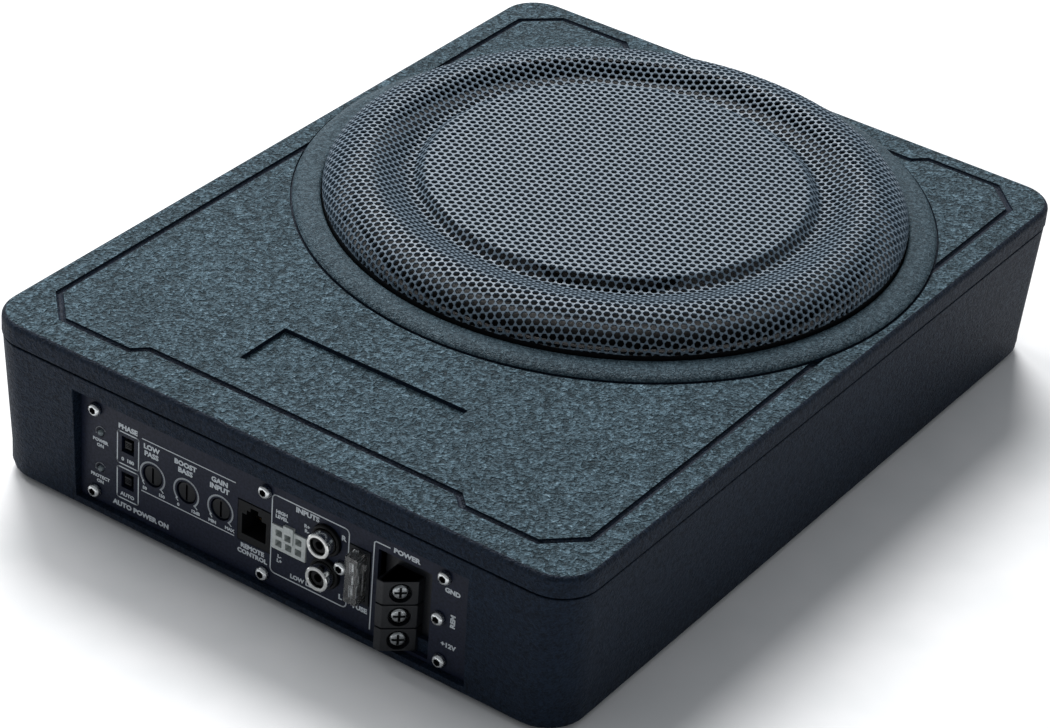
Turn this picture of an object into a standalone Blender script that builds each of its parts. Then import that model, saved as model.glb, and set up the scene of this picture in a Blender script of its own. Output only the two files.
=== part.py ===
"""Powered under-seat car subwoofer, built as separate named pieces.

Metres, +Z up. The control panel faces -Y and the origin is on the floor under the middle
of the enclosure.
"""
import math

import bmesh
import bpy
from mathutils import Matrix, Vector

MM = 0.001
GAP = 0.3 * MM            # clearance between pieces that touch

# --- Facets round a turn --------------------------------------------------------------
WIDE_FACETS = 64
MID_FACETS = 32
FACETS = 20
FINE_FACETS = 12

# --- Enclosure ------------------------------------------------------------------------
BODY_W = 250.0 * MM       # along X
BODY_L = 330.0 * MM       # along Y
BODY_H = 64.3 * MM        # tub and cover without feet
CORNER_R = 15.3 * MM
DRAFT = 2.8 * MM          # how far each side leans in at the bottom
WALL = 2.4 * MM           # thinnest tub wall, at the bottom
FLOOR = 3.0 * MM
BOTTOM_ROUND = 1.5 * MM
FOOT_PROUD = 2.0 * MM
FOOT_R = 9.0 * MM
FOOT_SEAT = 1.0 * MM      # depth of the foot's recess in the floor
FOOT_EDGE = 30.0 * MM     # foot centre to the enclosure's side
COVER_H = 8.1 * MM        # cover's top to its lower edge
COVER_WALL = 3.0 * MM
COVER_STEP = 0.3 * MM     # how far the cover stands out past the tub
SEAM = 0.8 * MM           # open joint between cover and tub
TONGUE_H = 3.3 * MM       # tub's tongue inside the cover
TOP_ROUND = 1.8 * MM
POST_EDGE = 13.0 * MM     # screw post centre to the enclosure's side
POST_H = 20.0 * MM
POST_R = 5.5 * MM
BOSS_R = 4.2 * MM
COVER_SCREW_HEAD_R = 3.2 * MM
COVER_SCREW_R = 1.6 * MM
COVER_SCREW_SEAT = 8.0 * MM   # from the post's top down to the head's seat

# --- Cover's top surface --------------------------------------------------------------
GROOVE_EDGE_X = 11.3 * MM     # groove to the enclosure's side
GROOVE_EDGE_FRONT = 14.4 * MM
GROOVE_EDGE_BACK = 9.4 * MM
GROOVE_CHAMFER = 12.6 * MM
GROOVE_JOG = 5.0 * MM         # inward step of the middle of the front and back runs
GROOVE_JOG_X = 66.0 * MM
GROOVE_R = 1.5 * MM
GROOVE_LIFT = 0.2 * MM        # groove's centre above the surface
PLATE_W = 79.0 * MM           # nameplate recess
PLATE_L = 25.0 * MM
PLATE_FRONT = 36.0 * MM       # recess to the front of the enclosure
PLATE_DEEP = 1.8 * MM

# --- Grille and its well --------------------------------------------------------------
WELL_SIDE = 15.3 * MM         # well's rim to the enclosure's side
WELL_BACK = 11.7 * MM         # and to the enclosure's back
WELL_DEEP = 4.3 * MM          # surface down to the woofer's ledge
LEDGE_T = 3.0 * MM
COLLAR_W = 10.8 * MM          # well's rim to the collar's outer crease
COLLAR_LIP = 4.0 * MM
COLLAR_ROUND = 0.6 * MM      # softness of the lip's edges
COLLAR_SINK = 0.05 * MM       # collar's rim under the top
COLLAR_H = 3.0 * MM
SKIRT_T = 3.0 * MM            # black ring under the mesh
SKIRT_H = 8.5 * MM            # ring's top above the surface
MESH_T = 0.9 * MM
MESH_CREST_H = 15.0 * MM      # heights above the surface
MESH_VALLEY_H = 10.4 * MM
MESH_DISC_H = 13.2 * MM
MESH_CREST_IN = 16.0 * MM     # crest's distance inside the mesh's edge
MESH_DISC_IN = 38.0 * MM      # disc's edge inside the mesh's edge
DISC_ROUND = 1.2 * MM         # softness of the disc's edge
MESH_VALLEY_W = 4.6 * MM      # flank from the disc's edge to the valley

# --- Woofer ---------------------------------------------------------------------------
RIM_T = 1.7 * MM
RIM_W = 8.2 * MM
BASKET_T = 1.6 * MM
SHELF_R = 60.0 * MM           # spider's shelf, outside
SHELF_W = 6.0 * MM
SHELF_H = 30.0 * MM           # shelf's top above the tub's floor
HUB_R = 46.0 * MM
POLE_R = 18.3 * MM
COIL_GAP = 2.2 * MM           # radial gap that the coil works in
FORMER_T = 0.4 * MM
WINDING_T = 0.9 * MM
WINDING_H = 13.0 * MM
YOKE_R = 56.0 * MM
YOKE_T = 4.0 * MM
YOKE_LIFT = 2.0 * MM          # motor's clearance over the floor
MAGNET_R = 58.0 * MM
MAGNET_T = 12.0 * MM
TOP_PLATE_R = 54.0 * MM
TOP_PLATE_T = 5.0 * MM
CONE_T = 1.0 * MM
CONE_LIP = 4.0 * MM           # flat rim of the cone
CONE_NECK_H = 34.2 * MM       # neck's bottom above the floor
ROLL_R = 6.2 * MM             # surround's half roll
ROLL_T = 0.8 * MM
ROLL_FLANGE = 3.0 * MM        # surround's flange on the rim
SPIDER_T = 0.6 * MM
SPIDER_WAVE = 1.2 * MM
SPIDER_WAVES = 4
DUST_CAP_R = 30.0 * MM
DUST_CAP_H = 9.0 * MM
WOOFER_SCREW_R = 1.5 * MM
WOOFER_SCREW_HEAD_R = 2.4 * MM
WOOFER_SCREWS = 4
WINDOWS = 6                   # openings round the basket
WINDOW_SHARE = 0.72           # their width against the shelf's radius
WOOFER_SCREW_HEAD_H = 1.8 * MM

# --- Control panel --------------------------------------------------------------------
PANEL_W = 168.4 * MM
PANEL_Z0 = 3.9 * MM           # heights from here on are above the enclosure's bottom
PANEL_Z1 = 48.4 * MM
PANEL_DEEP = 5.0 * MM         # face's depth behind the enclosure's front
PANEL_T = 1.6 * MM
LEDGE_DEEP = 4.2 * MM         # thickness of the seat behind the panel
FRAME_SIDE = 4.5 * MM         # frame's width outside the panel
FRAME_FOOT = 7.0 * MM         # seat's height behind the panel's lower edge
FRAME_HEAD = 4.9 * MM         # and behind its upper edge
FRAME_LEFT = 10.7 * MM        # and its width behind the left edge
LUG = 3.2 * MM                # material round a screw hole in the seat
PANEL_SCREW_R = 1.3 * MM
PANEL_SCREW_HEAD_R = 2.6 * MM
PANEL_SCREW_HEAD_H = 1.9 * MM
PANEL_SCREW_L = 4.5 * MM
SCREW_CLEAR = 0.4 * MM
PANEL_SCREWS = {              # X and height of each screw
    "panel_screw_top_left": (-77.4 * MM, 42.1 * MM),
    "panel_screw_bottom_left": (-77.4 * MM, 8.0 * MM),
    "panel_screw_top_middle": (-2.1 * MM, 41.9 * MM),
    "panel_screw_bottom_middle": (-2.1 * MM, 7.9 * MM),
    "panel_screw_top_right": (72.9 * MM, 42.0 * MM),
    "panel_screw_middle_right": (71.3 * MM, 24.7 * MM),
    "panel_screw_bottom_right": (72.9 * MM, 7.9 * MM),
}
INPUT_SCREW = (30.9 * MM, 25.9 * MM)
LED_X = -75.2 * MM
LED_HEIGHTS = {"power_led": 33.0 * MM, "protect_led": 17.9 * MM}
LED_R = 1.3 * MM
SWITCH_X = -63.0 * MM
PHASE_H = 32.7 * MM
POWER_H = 17.8 * MM
SWITCH_WINDOW = (5.6 * MM, 6.6 * MM)
SWITCH_BODY = (9.0 * MM, 10.4 * MM)
SWITCH_KNOB = (3.0 * MM, 3.2 * MM)
SWITCH_THROW = 1.3 * MM       # each way from the middle
POT_X = (-51.8 * MM, -36.7 * MM, -21.6 * MM)
POT_NAMES = ("low_pass", "bass_boost", "input_gain")
POT_H = 25.1 * MM
POT_HOLE_R = 4.4 * MM
POT_KNOB_R = 4.0 * MM
POT_SHAFT_R = 2.4 * MM
POT_BODY_W = 9.8 * MM
POT_BODY_TOP = 6.4 * MM       # above the shaft
JACK = (-6.7 * MM, 25.2 * MM)
JACK_W = 14.2 * MM
JACK_H = 16.4 * MM
JACK_HOLE = (10.4 * MM, 8.4 * MM)
JACK_HOLE_DROP = 0.9 * MM     # hole's centre below the jack's centre
HEADER = (8.2 * MM, 25.1 * MM)
HEADER_W = 14.6 * MM
HEADER_H = 10.0 * MM
HEADER_PITCH = 4.2 * MM
HEADER_HOLE = 2.8 * MM
HEADER_LATCH = (4.4 * MM, 1.6 * MM)
RCA_X = 24.1 * MM
RCA_HEIGHTS = {"rca_shell_right": 33.9 * MM, "rca_shell_left": 20.4 * MM}
RCA_COLLAR_R = 5.9 * MM
RCA_SHELL_R = 4.7 * MM
RCA_SHELL_T = 1.4 * MM
RCA_PIN_R = 1.6 * MM
RCA_PROUD = 5.5 * MM          # shell's front before the panel's face
RCA_BLOCK = (17.4 * MM, 33.1 * MM, 41.0 * MM)   # X from, X to, top
FUSE = (38.0 * MM, 26.0 * MM)
FUSE_W = 5.6 * MM
FUSE_H = 19.0 * MM
FUSE_PROUD = 5.0 * MM
FUSE_BODY_L = 9.5 * MM
FUSE_BLADE = (0.8 * MM, 5.0 * MM, 5.5 * MM)     # thickness, width, length
FUSE_BLADE_OUT = 5.9 * MM
HOLDER_W = 8.8 * MM
HOLDER_H = 22.0 * MM
TERMINAL_X0 = 45.5 * MM       # cut-out in the panel
TERMINAL_X1 = 67.6 * MM
TERMINAL_Z0 = 5.3 * MM
TERMINAL_Z1 = 40.3 * MM
CELL_PITCH = 9.7 * MM
CELL_GAP = 0.6 * MM
CELLS = 3
CELL_NAMES = ("terminal_screw_supply", "terminal_screw_remote", "terminal_screw_ground")
CELL_LEFT = 50.2 * MM         # outline of the cells, seen from above
CELL_NOSE = 2.8 * MM
CELL_RIGHT = 62.0 * MM
CELL_FRONT = 7.1 * MM         # nose's front before the panel's face
CELL_WELL_R = 3.9 * MM
CELL_WELL_DEEP = 2.4 * MM
CELL_SCREW_HEAD_R = 3.2 * MM
CELL_SCREW_HEAD_H = 2.0 * MM
CELL_CORE_IN = 0.8 * MM       # joined core's distance inside the cells
CELL_BASE_T = 4.0 * MM        # block behind the cells
CELL_SCREW_R = 1.6 * MM

# --- Amplifier ------------------------------------------------------------------------
PART_DEEP = 18.0 * MM         # back of the panel's parts behind the enclosure's front
BOARD_H = 8.0 * MM            # board's underside above the enclosure's bottom
BOARD_T = 1.6 * MM
CHIP_H = 1.6 * MM
CHIPS = (                     # X, depth, width, depth of the chip
    (-60.0 * MM, 32.0 * MM, 8.0 * MM, 6.0 * MM),
    (-30.0 * MM, 32.0 * MM, 10.0 * MM, 7.0 * MM),
    (-5.0 * MM, 34.0 * MM, 7.0 * MM, 7.0 * MM),
    (-62.0 * MM, 80.0 * MM, 6.0 * MM, 9.0 * MM),
)
BOARD_X0 = -70.0 * MM
BOARD_X1 = 66.0 * MM
BOARD_FRONT = 12.0 * MM       # board's edges behind the enclosure's front
BOARD_BACK = 90.0 * MM
BOARD_NOTCH = 14.0 * MM       # notch behind the terminals, same way
STANDOFF_R = 3.0 * MM
COIL = (-42.0 * MM, 62.0 * MM, 13.0 * MM, 6.0 * MM)     # X, depth, ring radius, wire radius
CAPACITOR = (-6.0 * MM, 60.0 * MM, 9.0 * MM, 30.0 * MM)  # X, depth, radius, height
SINK = (18.0 * MM, 58.0 * MM, 30.0 * MM, 80.0 * MM, 26.0 * MM)  # X0, X1, depth0, depth1, height
SINK_FINS = 6
SINK_FIN_T = 2.0 * MM
SINK_BASE_T = 3.0 * MM

# --- Levels and places worked out from the sizes above -----------------------------------
BASE_Z = FOOT_PROUD
TOP_Z = BASE_Z + BODY_H
COVER_Z = TOP_Z - COVER_H
SEAM_Z = COVER_Z - SEAM
FLOOR_Z = BASE_Z + FLOOR
FRONT_Y = -BODY_L / 2
BACK_Y = BODY_L / 2
CAVITY_IN = DRAFT + WALL
TONGUE_IN = COVER_WALL + GAP
WELL_R = BODY_W / 2 - WELL_SIDE
WELL_Y = BACK_Y - WELL_BACK - WELL_R
LEDGE_Z = TOP_Z - WELL_DEEP
SKIRT_R = WELL_R - GAP
RIM_R = SKIRT_R - SKIRT_T - 4 * GAP
LEDGE_R = RIM_R - RIM_W
RIM_Z = LEDGE_Z + GAP
RIM_SCREW_AT = RIM_R - WOOFER_SCREW_HEAD_R - GAP
ROLL_EDGE_R = RIM_SCREW_AT - WOOFER_SCREW_HEAD_R - GAP      # surround's outer edge
COIL_HOLE_R = POLE_R + COIL_GAP
YOKE_Z = FLOOR_Z + YOKE_LIFT
MAGNET_Z = YOKE_Z + YOKE_T + GAP
TOP_PLATE_Z = MAGNET_Z + MAGNET_T + GAP
HUB_Z = TOP_PLATE_Z + TOP_PLATE_T + GAP
SHELF_Z = FLOOR_Z + SHELF_H
FORMER_R = POLE_R + COIL_GAP / 2 - (FORMER_T + WINDING_T) / 2
CONE_NECK_Z = FLOOR_Z + CONE_NECK_H
ROLL_OUT_R = LEDGE_R + GAP
CONE_R = ROLL_OUT_R - 2 * ROLL_R
ROLL_Z = RIM_Z + RIM_T + GAP
CONE_EDGE_Z = ROLL_Z - GAP
BOARD_Z = BASE_Z + BOARD_H
PARTS_Z = BOARD_Z + BOARD_T + GAP
CELL_Z0 = TERMINAL_Z0 + GAP
FRAME_SEAT = PANEL_DEEP + PANEL_T + GAP         # depth of the seat behind the panel
FRAME_BACK = FRAME_SEAT + LEDGE_DEEP
OPENING_LOW = PANEL_Z0 + FRAME_FOOT
OPENING_HIGH = PANEL_Z1 - FRAME_HEAD

for old in list(bpy.data.objects):
    bpy.data.objects.remove(old, do_unlink=True)

PARTS = bpy.data.collections.new("under_seat_subwoofer")
CUTTERS = bpy.data.collections.new("cutters")
for group in (PARTS, CUTTERS):
    bpy.context.scene.collection.children.link(group)


# --- Tools ----------------------------------------------------------------------------
def add_object(name, data, collection):
    """Put a mesh or a curve in the scene under its own name."""
    thing = bpy.data.objects.new(name, data)
    collection.objects.link(thing)
    if collection is CUTTERS:
        thing.hide_render = True
        thing.display_type = 'WIRE'
    return thing


def from_bmesh(name, bm, collection=PARTS, origin=(0, 0, 0)):
    """Make an object of a bmesh in world places, with its origin where asked."""
    bmesh.ops.recalc_face_normals(bm, faces=bm.faces[:])
    bmesh.ops.translate(bm, vec=-Vector(origin), verts=bm.verts[:])
    mesh = bpy.data.meshes.new(name)
    bm.to_mesh(mesh)
    bm.free()
    thing = add_object(name, mesh, collection)
    thing.location = origin
    return thing


def put_box(bm, low, high):
    """Add a box between two corners."""
    low, high = Vector(low), Vector(high)
    bmesh.ops.create_cube(bm, size=1.0, matrix=Matrix.LocRotScale((low + high) / 2, None, high - low))


def put_rod(bm, start, end, radius, end_radius=None, segments=FACETS):
    """Add a cylinder or a cone between two points."""
    start, end = Vector(start), Vector(end)
    way = end - start
    place = Matrix.Translation((start + end) / 2) @ way.to_track_quat('Z', 'Y').to_matrix().to_4x4()
    far = radius if end_radius is None else end_radius
    bmesh.ops.create_cone(bm, cap_ends=True, segments=segments, radius1=radius, radius2=far,
                          depth=way.length, matrix=place)


def put_rounded_block(bm, inset, bottom, top, radius, draft=0.0, edge_rounds=(0.0, 0.0)):
    """Add the enclosure's outline, set in by inset, as a block with round corners."""
    low = Vector((-BODY_W / 2 + inset, -BODY_L / 2 + inset, bottom))
    made = bmesh.ops.create_cube(bm, size=1.0, matrix=Matrix.LocRotScale(
        Vector((0, 0, (bottom + top) / 2)), None, Vector((-2 * low.x, -2 * low.y, top - bottom))))
    for vert in made["verts"]:
        if vert.co.z < (bottom + top) / 2:
            vert.co.x -= math.copysign(draft, vert.co.x)
            vert.co.y -= math.copysign(draft, vert.co.y)
    edges = {edge for vert in made["verts"] for edge in vert.link_edges}
    upright = [edge for edge in edges if abs(edge.verts[0].co.z - edge.verts[1].co.z) > GAP]
    bmesh.ops.bevel(bm, geom=upright, offset=radius, segments=5, profile=0.5, affect='EDGES')
    for level, amount in zip((bottom, top), edge_rounds):
        if amount > 0:
            rim = [edge for edge in bm.edges if all(abs(v.co.z - level) < GAP / 10 for v in edge.verts)]
            bmesh.ops.bevel(bm, geom=rim, offset=amount, segments=2, profile=0.5, affect='EDGES')


def turned(name, profile, centre, steps=WIDE_FACETS, closed=True, collection=PARTS):
    """Turn a profile of (radius, height) points round the upright axis through centre."""
    count = len(profile)
    edges = [(i, (i + 1) % count) for i in range(count if closed else count - 1)]
    mesh = bpy.data.meshes.new(name)
    mesh.from_pydata([(radius, 0.0, height - centre[2]) for radius, height in profile], edges, [])
    thing = add_object(name, mesh, collection)
    thing.location = centre
    screw = thing.modifiers.new("turn", 'SCREW')
    screw.steps = steps
    screw.render_steps = steps
    screw.use_merge_vertices = True
    screw.merge_threshold = 0.00001
    return thing


def prism(name, points, bottom, top, collection=PARTS):
    """Make a flat outline in XY into a mesh prism between two heights."""
    curve = bpy.data.curves.new(name, 'CURVE')
    curve.dimensions = '2D'
    curve.fill_mode = 'BOTH'
    curve.extrude = (top - bottom) / 2
    spline = curve.splines.new('POLY')
    spline.points.add(len(points) - 1)
    for point, (x, y) in zip(spline.points, points):
        point.co = (x, y, 0.0, 1.0)
    spline.use_cyclic_u = True
    return curve_to_mesh(name, curve, (0, 0, (bottom + top) / 2), collection)


def curve_to_mesh(name, curve, place, collection):
    """Turn a curve into a welded mesh object that can take a Boolean."""
    guide = bpy.data.objects.new(name + "_guide", curve)
    guide.location = place
    bpy.context.scene.collection.objects.link(guide)
    depsgraph = bpy.context.evaluated_depsgraph_get()
    mesh = bpy.data.meshes.new_from_object(guide.evaluated_get(depsgraph))
    bpy.data.objects.remove(guide, do_unlink=True)
    bm = bmesh.new()
    bm.from_mesh(mesh)
    bmesh.ops.remove_doubles(bm, verts=bm.verts[:], dist=0.00001)
    bmesh.ops.recalc_face_normals(bm, faces=bm.faces[:])
    bm.to_mesh(mesh)
    bm.free()
    mesh.name = name
    thing = add_object(name, mesh, collection)
    thing.location = place
    return thing


def combine(thing, other, operation):
    """Join to or cut from thing the solid of other."""
    step = thing.modifiers.new(other.name, 'BOOLEAN')
    step.operation = operation
    step.object = other


def cut(thing, name, bm):
    """Cut a bmesh's solids out of thing."""
    combine(thing, from_bmesh(name, bm, CUTTERS), 'DIFFERENCE')


def join(thing, name, bm):
    """Join a bmesh's solids to thing."""
    combine(thing, from_bmesh(name, bm, CUTTERS), 'UNION')


def finish(thing, colour, roughness, metallic=0.0):
    """Give a piece its own material and shade its round faces smooth."""
    material = bpy.data.materials.new(thing.name)
    material.use_nodes = True
    shader = material.node_tree.nodes["Principled BSDF"]
    shader.inputs["Base Color"].default_value = (*colour, 1.0)
    shader.inputs["Roughness"].default_value = roughness
    shader.inputs["Metallic"].default_value = metallic
    thing.data.materials.append(material)
    if thing.data.polygons:
        thing.data.shade_smooth()
        thing.data.set_sharp_from_angle(angle=math.radians(35))
    return thing


def at_panel(x, height, depth):
    """Point at a height over the enclosure's bottom and a depth behind its front."""
    return Vector((x, FRONT_Y + depth, BASE_Z + height))


def panel_box(bm, x0, x1, z0, z1, depth0, depth1):
    """Add a box given in the panel's own terms."""
    put_box(bm, at_panel(x0, z0, depth0), at_panel(x1, z1, depth1))


def panel_rod(bm, x, height, depth0, depth1, radius, segments=FACETS):
    """Add a cylinder square to the panel."""
    put_rod(bm, at_panel(x, height, depth0), at_panel(x, height, depth1), radius, segments=segments)


def corners(edge):
    """The four places at this distance from the enclosure's sides, each with a name."""
    x, y = BODY_W / 2 - edge, BODY_L / 2 - edge
    return {"front_left": (-x, -y), "front_right": (x, -y), "back_left": (-x, y), "back_right": (x, y)}


BLACK = (0.012, 0.016, 0.022)
STEEL = (0.62, 0.63, 0.64)


# --- Enclosure ------------------------------------------------------------------------
def make_tub():
    """Lower housing: drafted walls, tongue, screw posts, panel frame and standoffs."""
    bm = bmesh.new()
    put_rounded_block(bm, COVER_STEP, BASE_Z, SEAM_Z, CORNER_R, DRAFT - COVER_STEP, (BOTTOM_ROUND, 0.0))
    tub = from_bmesh("main_body", bm)

    bm = bmesh.new()
    put_rounded_block(bm, TONGUE_IN, FLOOR_Z, SEAM_Z + TONGUE_H, CORNER_R - TONGUE_IN)
    join(tub, "tongue", bm)
    bm = bmesh.new()
    put_rounded_block(bm, CAVITY_IN, FLOOR_Z, TOP_Z, CORNER_R - CAVITY_IN)
    cut(tub, "tub_cavity", bm)

    bm = bmesh.new()
    half = PANEL_W / 2 + FRAME_SIDE
    panel_box(bm, -half, half, FLOOR / 2, BODY_H - COVER_H - SEAM - FLOOR, DRAFT + WALL / 2, FRAME_BACK)
    join(tub, "panel_frame", bm)
    bm = bmesh.new()
    panel_box(bm, -PANEL_W / 2 - GAP, PANEL_W / 2 + GAP, PANEL_Z0 - GAP, PANEL_Z1 + GAP, -DRAFT, FRAME_SEAT)
    cut(tub, "panel_pocket", bm)
    cut_panel_opening(tub)

    bm = bmesh.new()
    for x, y in corners(POST_EDGE).values():
        put_rod(bm, (x, y, FLOOR_Z - FLOOR / 2), (x, y, BASE_Z + POST_H), POST_R)
    for x, depth in board_holes():
        put_rod(bm, at_panel(x, FLOOR / 2, depth), at_panel(x, BOARD_H - GAP, depth), STANDOFF_R)
    join(tub, "posts", bm)

    bm = bmesh.new()
    seat_z = BASE_Z + POST_H - COVER_SCREW_SEAT
    for x, y in corners(POST_EDGE).values():
        put_rod(bm, (x, y, 0), (x, y, seat_z), COVER_SCREW_HEAD_R + SCREW_CLEAR)
    for x, y in corners(FOOT_EDGE).values():
        put_rod(bm, (x, y, 0), (x, y, BASE_Z + FOOT_SEAT), FOOT_R + GAP, segments=FACETS)
    cut(tub, "underside_recesses", bm)
    bm = bmesh.new()
    for x, y in corners(POST_EDGE).values():
        put_rod(bm, (x, y, seat_z - GAP), (x, y, BASE_Z + POST_H + GAP), COVER_SCREW_R + SCREW_CLEAR)
    for x, height in PANEL_SCREWS.values():
        panel_rod(bm, x, height, FRAME_SEAT - GAP, FRAME_BACK + GAP,
                  PANEL_SCREW_R + SCREW_CLEAR, FINE_FACETS)
    cut(tub, "screw_holes", bm)
    finish(tub, BLACK, 0.6)


def cut_panel_opening(tub):
    """Open the frame behind the panel, leaving material round every panel screw."""
    left, right = -PANEL_W / 2 + FRAME_LEFT, TERMINAL_X1 + GAP
    lug = PANEL_SCREW_R + SCREW_CLEAR + LUG
    screw_x, screw_z = PANEL_SCREWS["panel_screw_top_middle"]
    reach = 3 * LED_R
    led_low, led_high = min(LED_HEIGHTS.values()) - reach, max(LED_HEIGHTS.values()) + reach
    openings = (
        ("left", left, screw_x - lug, OPENING_LOW, OPENING_HIGH),
        ("middle", screw_x - lug - GAP, screw_x + lug + GAP, OPENING_LOW, screw_z - lug),
        ("right", screw_x + lug, right, OPENING_LOW, OPENING_HIGH),
        ("terminals", TERMINAL_X0 - GAP, right, TERMINAL_Z0 - GAP, OPENING_HIGH),
        ("leds", LED_X - reach, left + GAP, led_low, led_high),
    )
    for label, x0, x1, z0, z1 in openings:
        bm = bmesh.new()
        panel_box(bm, x0, x1, z0, z1, FRAME_SEAT - GAP, FRAME_BACK + GAP)
        cut(tub, "opening_" + label, bm)


def groove_points():
    """Corners of the border groove, with chamfered corners and stepped front and back runs."""
    x = BODY_W / 2 - GROOVE_EDGE_X
    front, back = FRONT_Y + GROOVE_EDGE_FRONT, BACK_Y - GROOVE_EDGE_BACK
    half = []
    for y, inward in ((front, 1), (back, -1)):
        run = [(GROOVE_JOG_X, y + inward * GROOVE_JOG), (GROOVE_JOG_X + GROOVE_JOG, y),
               (x - GROOVE_CHAMFER, y), (x, y + inward * GROOVE_CHAMFER)]
        half.extend(run if inward > 0 else reversed(run))
    return half + [(-px, py) for px, py in reversed(half)]


def make_cover():
    """Upper housing: plate, skirt, border groove, nameplate recess, collar, well and ledge."""
    bm = bmesh.new()
    put_rounded_block(bm, 0.0, COVER_Z, TOP_Z, CORNER_R, 0.0, (0.0, TOP_ROUND))
    cover = from_bmesh("top_cover", bm)
    bm = bmesh.new()
    put_rounded_block(bm, COVER_WALL, BASE_Z, TOP_Z - COVER_WALL, CORNER_R - COVER_WALL)
    cut(cover, "cover_cavity", bm)

    curve = bpy.data.curves.new("border_groove", 'CURVE')
    curve.dimensions = '3D'
    curve.bevel_depth = GROOVE_R
    curve.bevel_resolution = 1
    spline = curve.splines.new('POLY')
    points = groove_points()
    spline.points.add(len(points) - 1)
    for point, (x, y) in zip(spline.points, points):
        point.co = (x, y, 0.0, 1.0)
    spline.use_cyclic_u = True
    groove = curve_to_mesh("border_groove", curve, (0, 0, TOP_Z + GROOVE_LIFT), CUTTERS)
    combine(cover, groove, 'DIFFERENCE')
    bm = bmesh.new()
    put_box(bm, (-PLATE_W / 2, FRONT_Y + PLATE_FRONT, TOP_Z - PLATE_DEEP),
            (PLATE_W / 2, FRONT_Y + PLATE_FRONT + PLATE_L, TOP_Z + PLATE_DEEP))
    cut(cover, "nameplate_recess", bm)

    bm = bmesh.new()
    put_rod(bm, (0, WELL_Y, COVER_Z - COVER_H), (0, WELL_Y, TOP_Z + COLLAR_H), WELL_R + COVER_WALL / 2,
            segments=WIDE_FACETS)
    cut(cover, "well_hole", bm)
    combine(cover, collar_ring(), 'UNION')
    bm = bmesh.new()
    for x, y in corners(POST_EDGE).values():
        put_rod(bm, (x, y, BASE_Z + POST_H + GAP), (x, y, TOP_Z - COVER_WALL / 2), BOSS_R)
    join(cover, "cover_bosses", bm)
    bm = bmesh.new()
    for x, y in corners(POST_EDGE).values():
        put_rod(bm, (x, y, BASE_Z + POST_H), (x, y, BASE_Z + 1.6 * POST_H), COVER_SCREW_R + SCREW_CLEAR)
    for x, y in woofer_screw_places():
        put_rod(bm, (x, y, LEDGE_Z - 2 * LEDGE_T), (x, y, LEDGE_Z + GAP), WOOFER_SCREW_R + GAP,
                segments=FINE_FACETS)
    cut(cover, "cover_screw_holes", bm)
    finish(cover, (0.035, 0.048, 0.058), 0.62)


def collar_ring():
    """Collar, well wall and ledge as one turned ring, kept inside the cover's outline."""
    rise = TOP_Z + COLLAR_H
    outer = WELL_R + COLLAR_W
    under = TOP_Z - COVER_WALL + GAP
    soft = COLLAR_ROUND
    profile = [
        (WELL_R + soft, rise - soft / 2), (WELL_R + 3 * soft, rise),
        (WELL_R + COLLAR_LIP - soft, rise - soft / 6), (WELL_R + COLLAR_LIP, rise - soft),
        (outer, TOP_Z - COLLAR_SINK), (outer, under), (WELL_R + COVER_WALL, under),
        (WELL_R + COVER_WALL, LEDGE_Z - LEDGE_T), (LEDGE_R, LEDGE_Z - LEDGE_T),
        (LEDGE_R, LEDGE_Z), (WELL_R, LEDGE_Z), (WELL_R, rise - 1.5 * soft),
    ]
    ring = turned("collar_ring", profile, (0, WELL_Y, 0), collection=CUTTERS)
    bm = bmesh.new()
    put_rounded_block(bm, TOP_ROUND / 2, COVER_Z - COVER_H, TOP_Z + 2 * COLLAR_H, CORNER_R)
    limit = from_bmesh("collar_limit", bm, CUTTERS)
    combine(ring, limit, 'INTERSECT')
    return ring


def make_feet():
    """Rubber feet seated in the floor."""
    for name, (x, y) in corners(FOOT_EDGE).items():
        bm = bmesh.new()
        put_rod(bm, (x, y, 0), (x, y, BASE_Z + FOOT_SEAT - GAP), FOOT_R - 1.0 * MM, FOOT_R, segments=FACETS)
        finish(from_bmesh("foot_" + name, bm, origin=(x, y, 0)), (0.02, 0.02, 0.02), 0.85)


def make_screw(name, seat, way, head_r, head_h, shank_r, shank_l, colour=STEEL):
    """Pan-head screw; seat is under the head and way points out of it."""
    seat, way = Vector(seat), Vector(way).normalized()
    bm = bmesh.new()
    put_rod(bm, seat, seat + way * head_h, head_r, head_r * 0.75, segments=FINE_FACETS)
    screw = from_bmesh(name, bm, origin=seat)
    bm = bmesh.new()
    put_rod(bm, seat - way * shank_l, seat + way * head_h / 2, shank_r, segments=FINE_FACETS // 2)
    join(screw, name + "_shank", bm)
    return finish(screw, colour, 0.3, 1.0)


def make_cover_screws():
    """Screws that hold the cover, driven up through the tub's posts."""
    seat_z = BASE_Z + POST_H - COVER_SCREW_SEAT - GAP
    for name, (x, y) in corners(POST_EDGE).items():
        make_screw("cover_screw_" + name, (x, y, seat_z), (0, 0, -1), COVER_SCREW_HEAD_R, 2.2 * MM,
                   COVER_SCREW_R, COVER_SCREW_SEAT + POST_H / 2, (0.1, 0.1, 0.11))


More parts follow.
